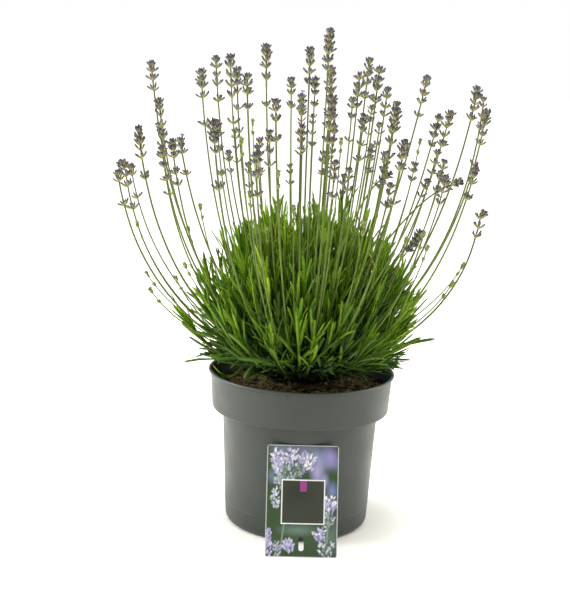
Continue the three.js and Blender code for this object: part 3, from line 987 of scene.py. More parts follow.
# %% [markdown]
# ## Twigs
#
# A shoot is a bundle of twigs. Each twig runs out from the crown, bends up towards the light, and carries
# its leaves in opposite pairs, each pair turned a quarter from the last. Its leaves are longest half way
# and make a tight tuft at the tip. A particle system could scatter leaves faster, but it doesn't know about
# pairs. So each leaf is placed with one matrix along its twig, and a leaf that would cut into the pot or
# the compost is closed towards the twig or left out.

# %% A leaf on its twig
def standing_off(place, direction, side, turn, spread, length, width, offset=0.0):
    """The matrix of a leaf or cup that stands off its stalk at an angle and from an offset."""
    forward = direction.normalized()
    across = (side - forward * side.dot(forward)).normalized()
    outward = across * math.cos(turn) + forward.cross(across) * math.sin(turn)
    axis_z = forward * math.cos(spread) + outward * math.sin(spread)
    axis_y = forward * math.sin(spread) - outward * math.cos(spread)
    axis_x = axis_y.cross(axis_z)
    return frame_matrix(axis_x * width, axis_y * width, axis_z * length, place + outward * offset)


LEAF_SLOPE = 0.30  # how fast the lowest leaves rise with their distance from the axis
LEAF_SLOPE_IN_FRONT = 0.18  # added to it in front, where the compost shows


def clear_of_pot(matrix):
    """Whether a leaf stays above the compost and outside the lip."""
    for share in (0.5, 1.0):
        point = matrix @ (UP * share)
        radius = math.hypot(point.x, point.y)
        front = max(0.0, -point.y / max(radius, MM))
        start = 25 * MM * (1 - front)
        slope = LEAF_SLOPE + LEAF_SLOPE_IN_FRONT * front
        if point.z < soil_height(radius) + 3 * MM + slope * max(0.0, radius - start):
            return False
        if radius > LIP_RADIUS - 9 * MM and point.z < POT_HEIGHT + 2.5 * MM:
            return False
    return True


# %% One twig
def bent_path(start_point, tip, reach, rise, steps):
    """From the crown to a tip; reach and rise say how far out and up the bend is."""
    bend = Vector((
        start_point.x + (tip.x - start_point.x) * reach,
        start_point.y + (tip.y - start_point.y) * reach,
        start_point.z + (tip.z - start_point.z) * rise,
    ))
    return arched(start_point, bend, tip, steps)


def smoothed(points, spacing):
    """A smooth path through points, with a step about every spacing."""
    path = [points[0]]
    last = len(points) - 1
    for number in range(last):
        begin, finish = points[number], points[number + 1]
        span = (finish - begin).length
        way_in = (finish - points[max(number - 1, 0)]).normalized() * span / 3
        way_out = (points[min(number + 2, last)] - begin).normalized() * span / 3
        steps = max(2, round(span / spacing) + 1)
        path.extend(geometry.interpolate_bezier(begin, begin + way_in, finish - way_out, finish, steps)[1:])
    return path


def path_point(path, share):
    """The place and direction at a share of a path."""
    at = min(max(share, 0.0), 0.9999) * (len(path) - 1)
    low = int(at)
    return path[low].lerp(path[low + 1], at - low), path[low + 1] - path[low]


TWIG_STEPS = 9
TWIG_FOOT_RADIUS = 1.15  # in mm
TWIG_TAPER = 0.7  # in mm
LAST_PAIR = 0.97  # the place of the last pair of leaves, as a share of the twig


def grow_twig(foot, tip, reach, rise, pairs, first_leaf, openness, leaf_length, leaf_width, youth):
    """One twig with its leaves, as a shape. Openness is how far its lowest leaves stand off, in radians."""
    side = level_side(tip)
    path = bent_path(foot, tip, reach, rise, TWIG_STEPS)
    radii = [(TWIG_FOOT_RADIUS - TWIG_TAPER * step / TWIG_STEPS) * MM for step in range(TWIG_STEPS + 1)]
    twig = new_shape()
    add_shape(twig, tube(path, radii, side, sides=5, material=1), youth)
    start_turn = dice.uniform(0, math.pi)
    for pair in range(pairs):
        share = first_leaf + (LAST_PAIR - first_leaf) * pair / (pairs - 1)
        place, direction = path_point(path, share)
        growth = pair / (pairs - 1)
        for half in (0.0, math.pi):
            turn = start_turn + pair * math.pi / 2 + half + dice.gauss(0, 0.25)
            spread = openness * (1 - 0.65 * growth) + dice.gauss(0, 0.07)
            size = (0.62 + 0.48 * math.sin(math.pi * (0.15 + 0.65 * growth))) * dice.uniform(0.7, 1.15)
            length = leaf_length * size
            width = leaf_width * dice.uniform(0.8, 1.2) * (1.0 if growth < 0.8 else 0.8)
            tint = clamped(youth - 0.12 + 0.4 * growth + dice.gauss(0, 0.12))
            leaf = dice.choice(leaf_meshes)
            for closer in (1.0, 0.6, 0.25):
                matrix = standing_off(place, direction, side, turn, spread * closer, length, width)
                if clear_of_pot(matrix):
                    add_copy(twig, leaf, matrix, tint)
                    break
    place, direction = path_point(path, 1.0)
    for _ in range(dice.randint(3, 5)):
        turn = dice.uniform(0, 2 * math.pi)
        spread = abs(dice.gauss(0.08, 0.09))
        length = leaf_length * dice.uniform(0.4, 0.75)
        matrix = standing_off(place, direction, side, turn, spread, length, leaf_width * 0.75)
        if clear_of_pot(matrix):
            tint = clamped(youth + 0.35 + dice.gauss(0, 0.12))
            add_copy(twig, dice.choice(leaf_meshes), matrix, tint)
    return twig


# %% [markdown]
# ## The bush of foliage
#
# Seen from any side the foliage is a sheaf that opens like a fan: narrow at the compost, widest over the
# lip, and uneven on top because every twig ends at its own height. Leaves scattered on a dome would look
# clipped, so the outline is left to the twigs' own tips. The twigs are spread by the golden angle, which
# never lines them up. Those in the middle stand straight, those outside lean out and bend up to the light,
# and each goes to the shoot of the part that grows the same way.

# %% Twigs all round
dice = random.Random(2024)
GOLDEN_ANGLE = math.pi * (3 - math.sqrt(5))
TWIGS = 240
BUSH_TOP = 274.0 * MM  # height of the tips in the middle
BUSH_EDGE_RADIUS = 106.0 * MM  # how far out the tips reach
BUSH_EDGE_HEIGHT = 206.0 * MM  # height of the outermost tips
BUSH_LEAN = 0.01  # how much the whole bush leans to its right side, in mm for each mm of height
EDGE_DROP = 4.5  # a high power keeps the top flat and lets it drop near the edge
SHORTENING = 55.0 * MM  # how much lower the shortest twigs end
ODD_TIPS = (0, 0, 0, 0, 0, 10, 22, 36)  # how much higher some twigs end, in mm
FOOT_SPREAD = 26.0 * MM  # how far from the axis the outermost twigs start

shoots = {name: new_shape() for name in shoot_names}


def nearest_shoot(point):
    """The shoot of the part that grows most nearly towards a point."""
    way = (point - FORK).normalized()
    return max(shoot_names, key=lambda name: shoot_ways[name].dot(way))


for number in range(TWIGS):
    heading = number * GOLDEN_ANGLE
    outward = level_way(heading)
    share = math.sqrt((number + 0.5) / TWIGS)  # how far out the twig ends: 0 in the middle, 1 at the edge
    shortening = dice.random() ** 2.0
    height = BUSH_TOP + (BUSH_EDGE_HEIGHT - BUSH_TOP) * share ** EDGE_DROP
    height += dice.gauss(0, 6) * MM - SHORTENING * shortening * (1 - 0.6 * share)
    height += dice.choice(ODD_TIPS) * MM * (1 - share ** 2)
    radius = BUSH_EDGE_RADIUS * share * (1 - 0.28 * shortening) + dice.gauss(0, 3) * MM
    tip = outward * radius + UP * height + SIDEWAYS * BUSH_LEAN * (height - POT_HEIGHT)
    foot = outward * FOOT_SPREAD * share ** 1.5 + UP * (SOIL_MOUND_HEIGHT + dice.uniform(4, 12) * MM)
    twig = grow_twig(
        foot, tip,
        reach=0.62 + 0.16 * share,
        rise=0.40,
        pairs=7,
        first_leaf=0.10,
        openness=0.20 + 0.18 * share,
        leaf_length=(62 - 12 * share) * MM,
        leaf_width=dice.uniform(2.8, 4.2) * MM,
        youth=0.40 - 0.11 * share ** 2 - 0.20 * shortening + dice.gauss(0, 0.09),
    )
    add_shape(shoots[nearest_shoot(tip)], twig)
print("twigs:", TWIGS)

# %% Short leafy twigs at the foot of the bush
FOOT_TWIGS = 110
for number in range(FOOT_TWIGS):
    heading = number * GOLDEN_ANGLE + 0.4
    outward = level_way(heading)
    tip = outward * dice.uniform(30, 92) * MM + UP * (POT_HEIGHT + dice.uniform(6, 26) * MM)
    foot = outward * dice.uniform(3, 26) * MM + UP * (SOIL_MOUND_HEIGHT + dice.uniform(5, 13) * MM)
    twig = grow_twig(
        foot, tip,
        reach=0.55,
        rise=dice.uniform(0.7, 1.1),
        pairs=6,
        first_leaf=0.2,
        openness=0.6,
        leaf_length=dice.uniform(20, 33) * MM,
        leaf_width=dice.uniform(2.8, 4.4) * MM,
        youth=dice.uniform(-0.25, 0.08),
    )
    add_shape(shoots[nearest_shoot(tip)], twig)
print("foot twigs:", FOOT_TWIGS)

# %% [markdown]
# ## Old leaves
#
# A few old leaves have a place of their own: one arches over the rim on the left, some hang down to the
# compost in front, and three short broad ones are paler. Chance would rarely put a leaf there, so each is
# given by three to five points. It is a flat skin along a smooth path through them.

# %% Old leaves at the foot
OLD_LEAVES = (
    # points in mm from foot to tip, width in mm, tint
    (((-59, -25, 169), (-64, -30, 162), (-71, -34, 158), (-79, -36, 160), (-89, -38, 170)), 3.2, 0.50),
    (((-40, -20, 166), (-57, -26, 167), (-72, -32, 171), (-88, -36, 175)), 4.6, 0.48),
    (((-79, -20, 179), (-91, -24, 184), (-103, -28, 190)), 3.0, 0.45),
    (((-75, -5, 168), (-86, -8, 170), (-94, -10, 169)), 3.0, 0.12),
    (((-72, 4, 176), (-86, 8, 172), (-96, 12, 170)), 3.0, 0.1),
    (((-37, -40, 168), (-37, -41, 177), (-35, -40, 186)), 5.2, 0.35),
    (((5, -48, 185), (7, -49, 193), (8, -48, 201)), 5.0, 0.5),
    (((8, -50, 190), (18, -54, 197), (37, -58, 204)), 4.4, 0.5),
    (((3, -30, 177), (4, -42, 171), (5, -47, 163)), 3.2, 0.18),
    (((8, -30, 176), (11, -42, 171), (14, -47, 164)), 3.0, 0.15),
    (((48, -26, 174), (56, -36, 168), (66, -43, 161)), 3.4, 0.08),
    (((20, -30, 172), (30, -42, 168), (38, -50, 165)), 3.4, 0.12),
    (((-20, -28, 172), (-24, -40, 167), (-26, -50, 164)), 3.4, 0.1),
    (((-44, -24, 170), (-50, -36, 165), (-55, -42, 162)), 3.2, 0.16),
    (((67, -10, 167), (77, -14, 163), (90, -18, 162)), 2.2, 0.6),
    (((71, -6, 169), (80, -12, 167), (91, -14, 163)), 2.0, 0.55),
    (((88, 0, 171), (102, 0, 179), (113, 0, 190)), 2.6, 0.6),
)


def single_leaf(points, width):
    """A flat leaf along a smooth path, its broad side turned outward and up."""
    path = smoothed([Vector(point) * MM for point in points], 4 * MM)
    last = len(path) - 1
    rings = []
    for number, place in enumerate(path):
        ahead = path[min(number + 1, last)] - path[max(number - 1, 0)]
        outward = Vector((place.x, place.y, 0)).normalized() + UP * 0.6
        half = width / 2 * (0.3 + 0.7 * math.sin(math.pi * (0.1 + 0.8 * number / last)))
        if number == last:
            half *= 0.4
        rings.append(ring_at(place, ahead, ahead.cross(outward), half, half * 0.25))
    return skinned(rings, 4)


for points, width, tint in OLD_LEAVES:
    add_shape(shoots[nearest_shoot(Vector(points[-1]) * MM)], single_leaf(points, width * MM), tint)
print("old leaves:", len(OLD_LEAVES))

# %% The shoots become pieces
for name in shoot_names:
    label = name.replace("leafy_shoot", "foliage")
    as_piece(label, shoots[name], [leaf_finish, twig_finish], [name])
print("foliage pieces:", len(shoot_names))

# %% [markdown]
# ## Flower cups
#
# What looks like a purple flower is mostly cups: narrow tubes, green at the foot and violet at the mouth,
# each about 6 mm long. A whole spike could be one lumpy skin, but its outline gives that away. So a cup is a
# five-sided skin that curves up a little, and thousands of copies are placed. A few stems have a small open
# flower with rounded lobes, and a papery bract sits under each cluster. The cup's colour is a ramp along its
# length, mixed between a green one and a ripe one.

# %% Flower finishes
cup_finish, tree, shader = new_material("flower_cup", 0.7, 0.2)
ripe_cup = ramp(
    tree, "along",
    (0.0, 0.42, 0.44, 0.09), (0.25, 0.37, 0.37, 0.13), (0.5, 0.235, 0.245, 0.16),
    (0.75, 0.10, 0.088, 0.116), (1.0, 0.020, 0.012, 0.022),
)
green_cup = ramp(tree, "along", (0.0, 0.22, 0.30, 0.05), (0.8, 0.28, 0.33, 0.09), (1.0, 0.18, 0.18, 0.10))
cup_mix = mixed(tree, mesh_value(tree, "tint"), green_cup, ripe_cup)
cup_patches = patchy(tree, 450.0, 2.5, (0.7, 0.68, 0.7), (1.3, 1.25, 1.32))
set_surface(tree, shader, multiplied(tree, cup_mix, cup_patches), 2200.0, 0.5, 0.2 * MM)

stem_finish, tree, shader = new_material("flower_stem", 0.6, 0.12)
stem_along = ramp(
    tree, "along",
    (0.0, 0.085, 0.150, 0.018), (0.35, 0.120, 0.188, 0.034),
    (0.7, 0.120, 0.165, 0.042), (1.0, 0.128, 0.145, 0.060),
)
dark_share = add_node(tree, "ShaderNodeMath", {"operation": "MULTIPLY"})
upward = add_node(tree, "ShaderNodeMath", {"operation": "POWER"}, {1: 3.0})
connect(
    tree,
    (mesh_value(tree, "tint"), dark_share.inputs[0]),
    (mesh_value(tree, "along"), upward.inputs[0]),
    (upward.outputs[0], dark_share.inputs[1]),
)
stem_dark = mixed(tree, dark_share.outputs[0], stem_along, rgb(0.070, 0.068, 0.035))
stem_patches = patchy(tree, 60.0, 3.0, (0.78, 0.78, 0.72), (1.12, 1.15, 1.0))
set_surface(tree, shader, multiplied(tree, stem_dark, stem_patches), 1800.0, 0.3, 0.15 * MM)

petal_finish, tree, shader = new_material("petal", 0.6, 0.2)
set_surface(tree, shader, patchy(tree, 500.0, 2.0, (0.20, 0.16, 0.30), (0.34, 0.28, 0.44)))
print("finishes:", cup_finish.name, stem_finish.name, petal_finish.name)

# %% Cup, flower and bract
CUP_OUTLINE = ((0.0, 0.42), (0.2, 0.8), (0.5, 1.0), (0.84, 0.95), (1.0, 0.55))
CUP_LENGTH = 6.2 * MM
CUP_RADIUS = 0.84 * MM


def cup_mesh(curve):
    """A cup of real size that stands on its foot and curves by that share of its length."""
    rings = []
    for place, share in CUP_OUTLINE:
        centre = Vector((0, curve * CUP_LENGTH * place ** 2, CUP_LENGTH * place))
        lean = Vector((0, 2 * curve * place, 1))
        rings.append(ring_at(centre, lean, SIDEWAYS, CUP_RADIUS * share))
    return mesh_of(skinned(rings, 5, material=1), "cup")


FLOWER_OUTLINE = (
    # height and radius in mm, from the foot out to the lobes and back to the throat
    (0.0, 0.5), (1.2, 0.6), (2.2, 1.0), (2.9, 2.0), (2.6, 2.5), (2.4, 1.6), (2.1, 0.4),
)
LOBES = 5
LOBES_START = 0.9 * MM  # inside this radius the flower is round

cup_meshes = [cup_mesh(curve) for curve in (0.1, 0.2, 0.3)]
flower_rings = []
for place, radius in FLOWER_OUTLINE:
    flower_rings.append(ring_at(Vector((0, 0, place * MM)), UP, SIDEWAYS, radius * MM))
flower_shape = skinned(flower_rings, 10, material=2)
for vert in flower_shape.verts:
    lobe = math.cos(LOBES * math.atan2(vert.co.y, vert.co.x))
    radius = math.hypot(vert.co.x, vert.co.y)
    if radius > LOBES_START:
        vert.co.x *= 1 + 0.25 * lobe
        vert.co.y *= 1 + 0.25 * lobe
flower_mesh = mesh_of(flower_shape, "open_flower")
bract_mesh = leaf_mesh(0.6, 0.0, 0.0, 0.3)
for polygon in bract_mesh.polygons:
    polygon.material_index = 1
print("faces in a cup:", len(cup_meshes[0].polygons))

# %% [markdown]
# ## Whorls
#
# The cups sit in whorls. A whorl is two opposite clusters of three to five cups, and each whorl is turned
# a quarter from the one below. A fan of six small cups closes the spike above the topmost whorl. One whorl
# could be made and copied, but the same knot of cups would then be seen a hundred times. So each cup is
# placed with a matrix of its own, a little off its regular turn, spread and size.

# %% A whorl of cups
CLUSTER_FAN = 2.1  # how far round the stem the cups of a cluster reach, in radians
CUP_OFFSET = 0.55 * MM
FAN_CUPS = 6


def add_whorl(spike, place, direction, side, turn, cups, size, openness, ripeness):
    """Two clusters of cups on opposite sides of the stem, each on a bract."""
    for half in (0.0, math.pi):
        middle = turn + half + dice.gauss(0, 0.12)
        for number in range(cups):
            fan = 0.0 if cups == 1 else (number / (cups - 1) - 0.5) * CLUSTER_FAN
            inner = number % 2
            spread = (openness - 0.3 * inner) * dice.uniform(0.8, 1.2)
            foot = place + direction.normalized() * dice.uniform(-0.5, 0.9) * MM * size
            heading = middle + fan + dice.gauss(0, 0.1)
            cup_size = size * dice.uniform(0.85, 1.15)
            matrix = standing_off(foot, direction, side, heading, spread, cup_size, cup_size, CUP_OFFSET)
            cup = dice.choice(cup_meshes)
            add_copy(spike, cup, matrix, clamped(ripeness + dice.gauss(0, 0.12)))
        bract_place = place - direction.normalized() * 0.6 * MM * size
        bract = standing_off(
            bract_place, direction, side, middle, openness + 0.1, 2.8 * MM * size, 1.7 * MM * size
        )
        add_copy(spike, bract_mesh, bract, 0.35 * ripeness)


def close_spike(spike, place, direction, side, size, ripeness):
    """The fan of cups at the tip. Its first cup stands nearly upright."""
    for number in range(FAN_CUPS):
        turn = number * 2 * math.pi / (FAN_CUPS - 1) + dice.gauss(0, 0.2)
        spread = 0.12 if number == 0 else dice.uniform(0.3, 0.8)
        cup_size = size * dice.uniform(0.75, 0.95)
        matrix = standing_off(place, direction, side, turn, spread, cup_size, cup_size, 0.4 * MM)
        add_copy(spike, dice.choice(cup_meshes), matrix, min(1.0, ripeness + 0.1))


# %% [markdown]
# ## A flowering stem
#
# A stem is a thin six-sided tube from the crown to its tip, slowly tapering. Its whorls are given by how far
# they are below the tip. The dense head at the top has whorls 5 or 6 mm apart, and the others stand alone,
# lower down. An array along a curve could space them evenly, but no real spike is even. So each whorl is
# found by walking down the path from the tip, which also works on a bent stem.

# %% Places on a stem
def below_tip(path, distance):
    """The place and direction at a distance below the tip of a path."""
    for upper, lower in zip(reversed(path), reversed(path[:-1])):
        span = (upper - lower).length
        if distance <= span:
            return upper.lerp(lower, distance / span), upper - lower
        distance -= span
    return path[0], path[1] - path[0]


def cut_short(path, distance):
    """The path without its last stretch of that length."""
    end, way = below_tip(path, distance)
    kept = [point for point in path if (point - end).dot(way) < 0]
    return kept + [end]


# %% Building one stem
RIPE = 0.5  # stems riper than this have open whorls
OPEN_FLOWER_SHARE = 0.06
CROWDED = 7 * MM  # whorls nearer than this to the next one are fuller
WHORL_SINK = 2.8 * MM  # cups rise from their whorl's foot, so the foot sits this much lower than its middle


def flowering_stem(name, path, whorls, ripeness=1.0, size=1.0, thickness=1.0, replaces=()):
    """One stem with its whorls, as a piece. The whorls are distances below the tip."""
    side = level_side(path[-1])
    stalk = cut_short(path, whorls[0] + WHORL_SINK)
    count = len(stalk)
    radii = [(1.22 - 0.42 * number / (count - 1)) * MM * thickness for number in range(count)]
    stem = new_shape()
    add_shape(stem, tube(stalk, radii, side, sides=6), dice.choice((0.1, 0.3, 0.5, 0.9)) * ripeness)
    spike = new_shape()
    turn = dice.uniform(0, math.pi)
    openness = 1.0 if ripeness > RIPE else 0.42
    for number, distance in enumerate(whorls):
        place, direction = below_tip(path, distance + WHORL_SINK)
        cups = dice.choice((3, 3, 4)) if ripeness > RIPE else 3
        if number == 0:
            top = place + direction.normalized() * 0.8 * MM * size
            close_spike(spike, top, direction, side, size, ripeness)
        grown = size * (1.0 if number else 0.92)
        crowded = number + 1 < len(whorls) and whorls[number + 1] - distance < CROWDED
        cups += 1 if crowded else 0
        spread = openness * (0.9 if crowded else 1.0)
        add_whorl(spike, place, direction, side, turn + number * math.pi / 2, cups, grown, spread, ripeness)
    if ripeness > RIPE and dice.random() < OPEN_FLOWER_SHARE:
        place, direction = below_tip(path, whorls[0])
        turn = dice.uniform(0, 6.28)
        open_flower = standing_off(place, direction, side, turn, 0.5, size, size, 0.4 * MM)
        add_copy(spike, flower_mesh, open_flower @ Matrix.Translation((0, 0, 3.8 * MM)), 1.0)
    add_shape(stem, spike)
    return as_piece(name, stem, [stem_finish, cup_finish, petal_finish], replaces)


# %% [markdown]
# ## Stems of the part
#
# The part already says where its forty-one stems run and where their whorls sit: each is a four-sided
# turning with a bead for a whorl. The places could be written down again, but then they could disagree with
# the part. So its rings are read back in order from the tip, by walking along the edges of the merged mesh.
# A ring's middle is a place on the stem, and a wide ring is a whorl.

# %% Reading a stem back
WHORL_RING_RADIUS = 3.7 * MM  # a ring wider than this is a whorl
PATH_SPACING = 9.0 * MM
READING_WELD = 0.002 * MM


def read_stem(node):
    """The path of a stem from its foot to its tip, and its whorls as distances below the tip."""
    copy = bmesh.new()
    copy.from_mesh(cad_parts[node].data)
    bmesh.ops.remove_doubles(copy, verts=copy.verts[:], dist=READING_WELD)
    copy.verts.ensure_lookup_table()
    tip = max(copy.verts, key=lambda vert: (vert.co - FORK).length)
    seen = {tip.index}
    ring = [tip]
    centres = []
    radii = []
    while ring:
        centre = sum((vert.co for vert in ring), Vector()) / len(ring)
        centres.append(centre)
        radii.append(sum((vert.co - centre).length for vert in ring) / len(ring))
        found = sorted({e.other_vert(v).index for v in ring for e in v.link_edges} - seen)
        seen.update(found)
        ring = [copy.verts[index] for index in found]
    copy.free()
    whorls = []
    travelled = 0.0
    points = [centres[0]]
    for number in range(1, len(centres)):
        travelled += (centres[number] - centres[number - 1]).length
        if radii[number] > WHORL_RING_RADIUS:
            whorls.append(travelled)
        if (centres[number] - points[-1]).length > PATH_SPACING:
            points.append(centres[number])
    points.reverse()
    foot = points[0]
    way = (points[1] - points[0]).normalized()
    knee = foot - way * (foot - FORK).length * 0.5
    lower = arched(FORK, knee, foot, 4)[:-1]
    return smoothed(lower + points, PATH_SPACING), whorls


# %% The forty-one stems
HEAD_LENGTH = 22 * MM  # whorls this near to the tip belong to the dense head
dice = random.Random(77)
stem_names = sorted(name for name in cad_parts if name.startswith("flower_stem"))
for name in stem_names:
    path, whorls = read_stem(name)
    in_head = sum(1 for distance in whorls if distance < HEAD_LENGTH)
    size = 0.98 + 0.06 * min(4, in_head) + dice.uniform(-0.06, 0.08)
    flowering_stem(
        name.replace("flower_stem", "lavender_stem"), path, whorls, size=size,
        thickness=dice.uniform(0.85, 1.05), replaces=[name],
    )
print("stems of the part:", len(stem_names))

# %% [markdown]
# ## More stems between them
#
# The real plant has more stems than the part needs for its collision. Those in the middle of the bunch are
# added here, inside the space that the part's stems take up. Chance could place them too, but it leaves gaps
# and knots, so each one is written down: a tip, its whorls and how it bends. Some lean over, with their bend
# as high as their tip. The young stems after them are shorter and thinner, with small closed green buds.

# %% Stems in between
MORE_STEMS = (
    # tip in mm, whorls as distances below the tip in mm, reach, rise
    ((20, 60, 460), (3, 8, 18, 30), 0.80, 0.26),
    ((0, -100, 460), (3, 8, 14, 24), 0.78, 0.26),
    ((-80, 100, 395), (3, 9, 20, 34), 0.80, 0.26),
    ((90, 95, 430), (3, 8, 19, 32), 0.76, 0.26),
    ((45, -120, 430), (3, 8, 14, 27, 42), 0.76, 0.26),
    ((65, 110, 425), (3, 8, 16, 30), 0.76, 0.26),
    ((75, 120, 405), (3, 9, 22), 0.76, 0.26),
    ((85, 120, 370), (3, 8, 19), 0.76, 0.26),
    ((70, -150, 380), (3, 8, 17, 28), 0.55, 0.92),
    ((165, -25, 445), (3, 8, 18, 30), 0.94, 0.30),
    ((145, 100, 370), (3, 8, 18, 31), 0.80, 0.26),
    ((105, -130, 375), (3, 8, 17), 0.70, 0.50),
    ((125, -100, 375), (3, 8, 14, 26), 0.80, 0.30),
    ((145, -60, 365), (3, 8, 15, 27), 0.62, 0.95),
    ((135, 40, 365), (3, 8, 20), 0.80, 0.26),
    ((20, -150, 390), (3, 8, 16, 33), 0.76, 0.26),
    ((-10, -140, 420), (3, 8, 22), 0.76, 0.26),
    ((20, 150, 365), (3, 8, 19), 0.78, 0.26),
    ((70, 150, 380), (3, 8, 17, 31), 0.76, 0.26),
    ((-10, 90, 435), (3, 8, 15, 27), 0.78, 0.26),
    ((-145, -30, 385), (3, 8, 19, 31), 0.86, 0.26),
    ((120, -60, 395), (3, 12, 22), 0.72, 0.26),
    ((110, 60, 370), (3, 8, 17), 0.76, 0.26),
    ((-10, 60, 425), (3, 9, 20), 0.72, 0.28),
    ((0, -60, 425), (3, 8, 18, 30), 0.76, 0.40),
    ((-10, 30, 400), (3, 9, 21), 0.84, 0.22),
    ((-40, -90, 410), (3, 9, 20, 32), 0.84, 0.22),
    ((-55, 80, 380), (3, 8, 16), 0.80, 0.34),
    ((-60, -50, 375), (3, 9, 22), 0.84, 0.28),
    ((25, 80, 405), (3, 8, 17, 28), 0.72, 0.40),
    ((55, -75, 395), (3, 8, 20), 0.84, 0.40),
    ((35, -105, 380), (3, 9, 20), 0.80, 0.28),
    ((75, -90, 365), (3, 10, 22), 0.72, 0.28),
    ((80, 70, 365), (3, 8, 19), 0.84, 0.40),
    ((10, -110, 395), (3, 9, 21), 0.68, 0.22),
    ((-20, 100, 360), (3, 9, 20), 0.72, 0.22),
    ((35, 20, 360), (3, 9, 20), 0.76, 0.22),
    ((-85, 60, 375), (3, 9, 21), 0.76, 0.40),
    ((100, 90, 380), (3, 8, 17), 0.84, 0.40),
    ((110, -50, 315), (3, 8, 13, 18, 24), 0.62, 0.55),
)
STEM_FOOT = Vector((0.0, 0.0, 150.0)) * MM
INNER_STEM_STEPS = 28
dice = random.Random(78)
for number, (tip, whorls, reach, rise) in enumerate(MORE_STEMS):
    path = bent_path(STEM_FOOT, Vector(tip) * MM, reach, rise, INNER_STEM_STEPS)
    flowering_stem(
        f"inner_stem_{number + 1:02d}", path, [d * MM for d in whorls],
        size=dice.uniform(0.85, 1.1), thickness=dice.uniform(0.8, 0.95),
    )
print("stems in between:", len(MORE_STEMS))

# %% Young stems with green buds
LOW_TIP = 290  # a tip below this height in mm is on a low stem, which bends out sooner
YOUNG_STEM_STEPS = 24
YOUNG_TIPS = (
    # in mm
    (-60, 40, 410), (-30, -150, 380), (-45, 90, 395), (-105, -60, 335), (-170, -20, 310),
    (-125, 60, 295), (-65, -120, 405), (-55, -150, 360), (-165, 30, 250), (-155, -30, 245),
    (-125, -90, 270), (-135, 50, 210), (-130, 90, 250), (25, 110, 385), (25, -140, 410),
    (115, 70, 395), (30, 160, 350), (50, -130, 335), (105, -120, 325), (165, 40, 270),
    (145, -40, 265), (-15, -120, 345), (95, -60, 310), (-40, -60, 315), (10, -80, 270),
    (110, -80, 320), (115, -70, 305),
)
dice = random.Random(79)
for number, tip in enumerate(YOUNG_TIPS):
    reach, rise = (0.8, 0.45) if tip[2] < LOW_TIP else (0.78, 0.28)
    path = bent_path(STEM_FOOT, Vector(tip) * MM, reach, rise, YOUNG_STEM_STEPS)
    flowering_stem(
        f"young_stem_{number + 1:02d}", path, [2 * MM, 5 * MM, dice.uniform(13, 20) * MM],
        ripeness=dice.choice((0.05, 0.15, 0.35)), size=dice.uniform(0.62, 0.8), thickness=0.72,
    )
print("young stems:", len(YOUNG_TIPS))

# %% [markdown]
# ## Plant card
#
# The card is thin printed board that leans on the pot. It is a fine grid, trimmed to round corners, with a
# slot for hanging, and then given its thickness. An image texture is the usual way to print it, but this
# card needs no file: its print is painted point by point as a colour attribute. There are soft lavender
# spikes out of focus, a few sharper ones, and a plain dark panel with a pale frame and no words on it.

# %% Where the card is
card_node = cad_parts["plant_label"]
face_area = {}
for polygon in card_node.data.polygons:
    key = tuple(round(c, 2) for c in polygon.normal)
    face_area[key] = face_area.get(key, 0.0) + polygon.area
front_key = max((key for key in face_area if key[1] < -0.5), key=lambda key: face_area[key])
front_faces = [p for p in card_node.data.polygons if tuple(round(c, 2) for c in p.normal) == front_key]
card_out = sum((p.normal * p.area for p in front_faces), Vector()).normalized()
card_up = (UP - card_out * card_out.z).normalized()
card_across = card_up.cross(card_out)
spans = []
for axis in (card_across, card_up, card_out):
    places = [vert.co.dot(axis) for vert in card_node.data.vertices]
    spans.append((min(places), max(places)))
(across_low, across_high), (up_low, up_high), (out_low, out_high) = spans
CARD_WIDTH = across_high - across_low
CARD_LENGTH = up_high - up_low
CARD_THICKNESS = out_high - out_low
card_origin = card_across * (across_low + across_high) / 2 + card_up * up_low + card_out * out_high
card_matrix = frame_matrix(card_across, card_up, card_out, card_origin)
print("card:", [round(size / MM, 1) for size in (CARD_WIDTH, CARD_LENGTH, CARD_THICKNESS)])

# %% Card blank
CARD_STEP = 0.5 * MM
CARD_CORNER = 2.5 * MM
CUT_WELD = 0.001 * MM
SLOT_HALF_WIDTH = 2.5 * MM
SLOT_LOW = 6.0 * MM
SLOT_HIGH = 20.0 * MM
card_shape = bmesh.new()
bmesh.ops.create_grid(
    card_shape, size=0.5,
    x_segments=round(CARD_WIDTH / CARD_STEP), y_segments=round(CARD_LENGTH / CARD_STEP),
    matrix=Matrix.Translation((0, CARD_LENGTH / 2, 0)) @ Matrix.Diagonal((CARD_WIDTH, CARD_LENGTH, 1, 1)),
)


def faces_within(shape, left, right, bottom, top):
    """The faces of the flat card in a window."""
    found = []
    for face in shape.faces:
        centre = face.calc_center_median()
        if left < centre.x < right and bottom < centre.y < top:
            found.append(face)
    return found


def cut_card(shape, faces, place, normal, clear):
    """Cuts faces along a line. What is beyond the line goes if clear is true."""
    geom = set(faces)
    for face in faces:
        geom.update(face.edges)
        geom.update(face.verts)
    bmesh.ops.bisect_plane(
        shape, geom=list(geom), dist=CUT_WELD, plane_co=place, plane_no=normal, clear_outer=clear
    )


for left_right in (-1, 1):
    for bottom_top in (-1, 1):
        middle = Vector((
            left_right * (CARD_WIDTH / 2 - CARD_CORNER),
            CARD_LENGTH / 2 + bottom_top * (CARD_LENGTH / 2 - CARD_CORNER),
            0,
        ))
        for degrees in (15, 30, 45, 60, 75):
            angle = math.radians(degrees)
            way = Vector((left_right * math.cos(angle), bottom_top * math.sin(angle), 0))
            reach = 1.5 * CARD_CORNER
            window = faces_within(
                card_shape, middle.x - reach, middle.x + reach, middle.y - reach, middle.y + reach
            )
            cut_card(card_shape, window, middle + way * CARD_CORNER, way, True)
print("card faces:", len(card_shape.faces))

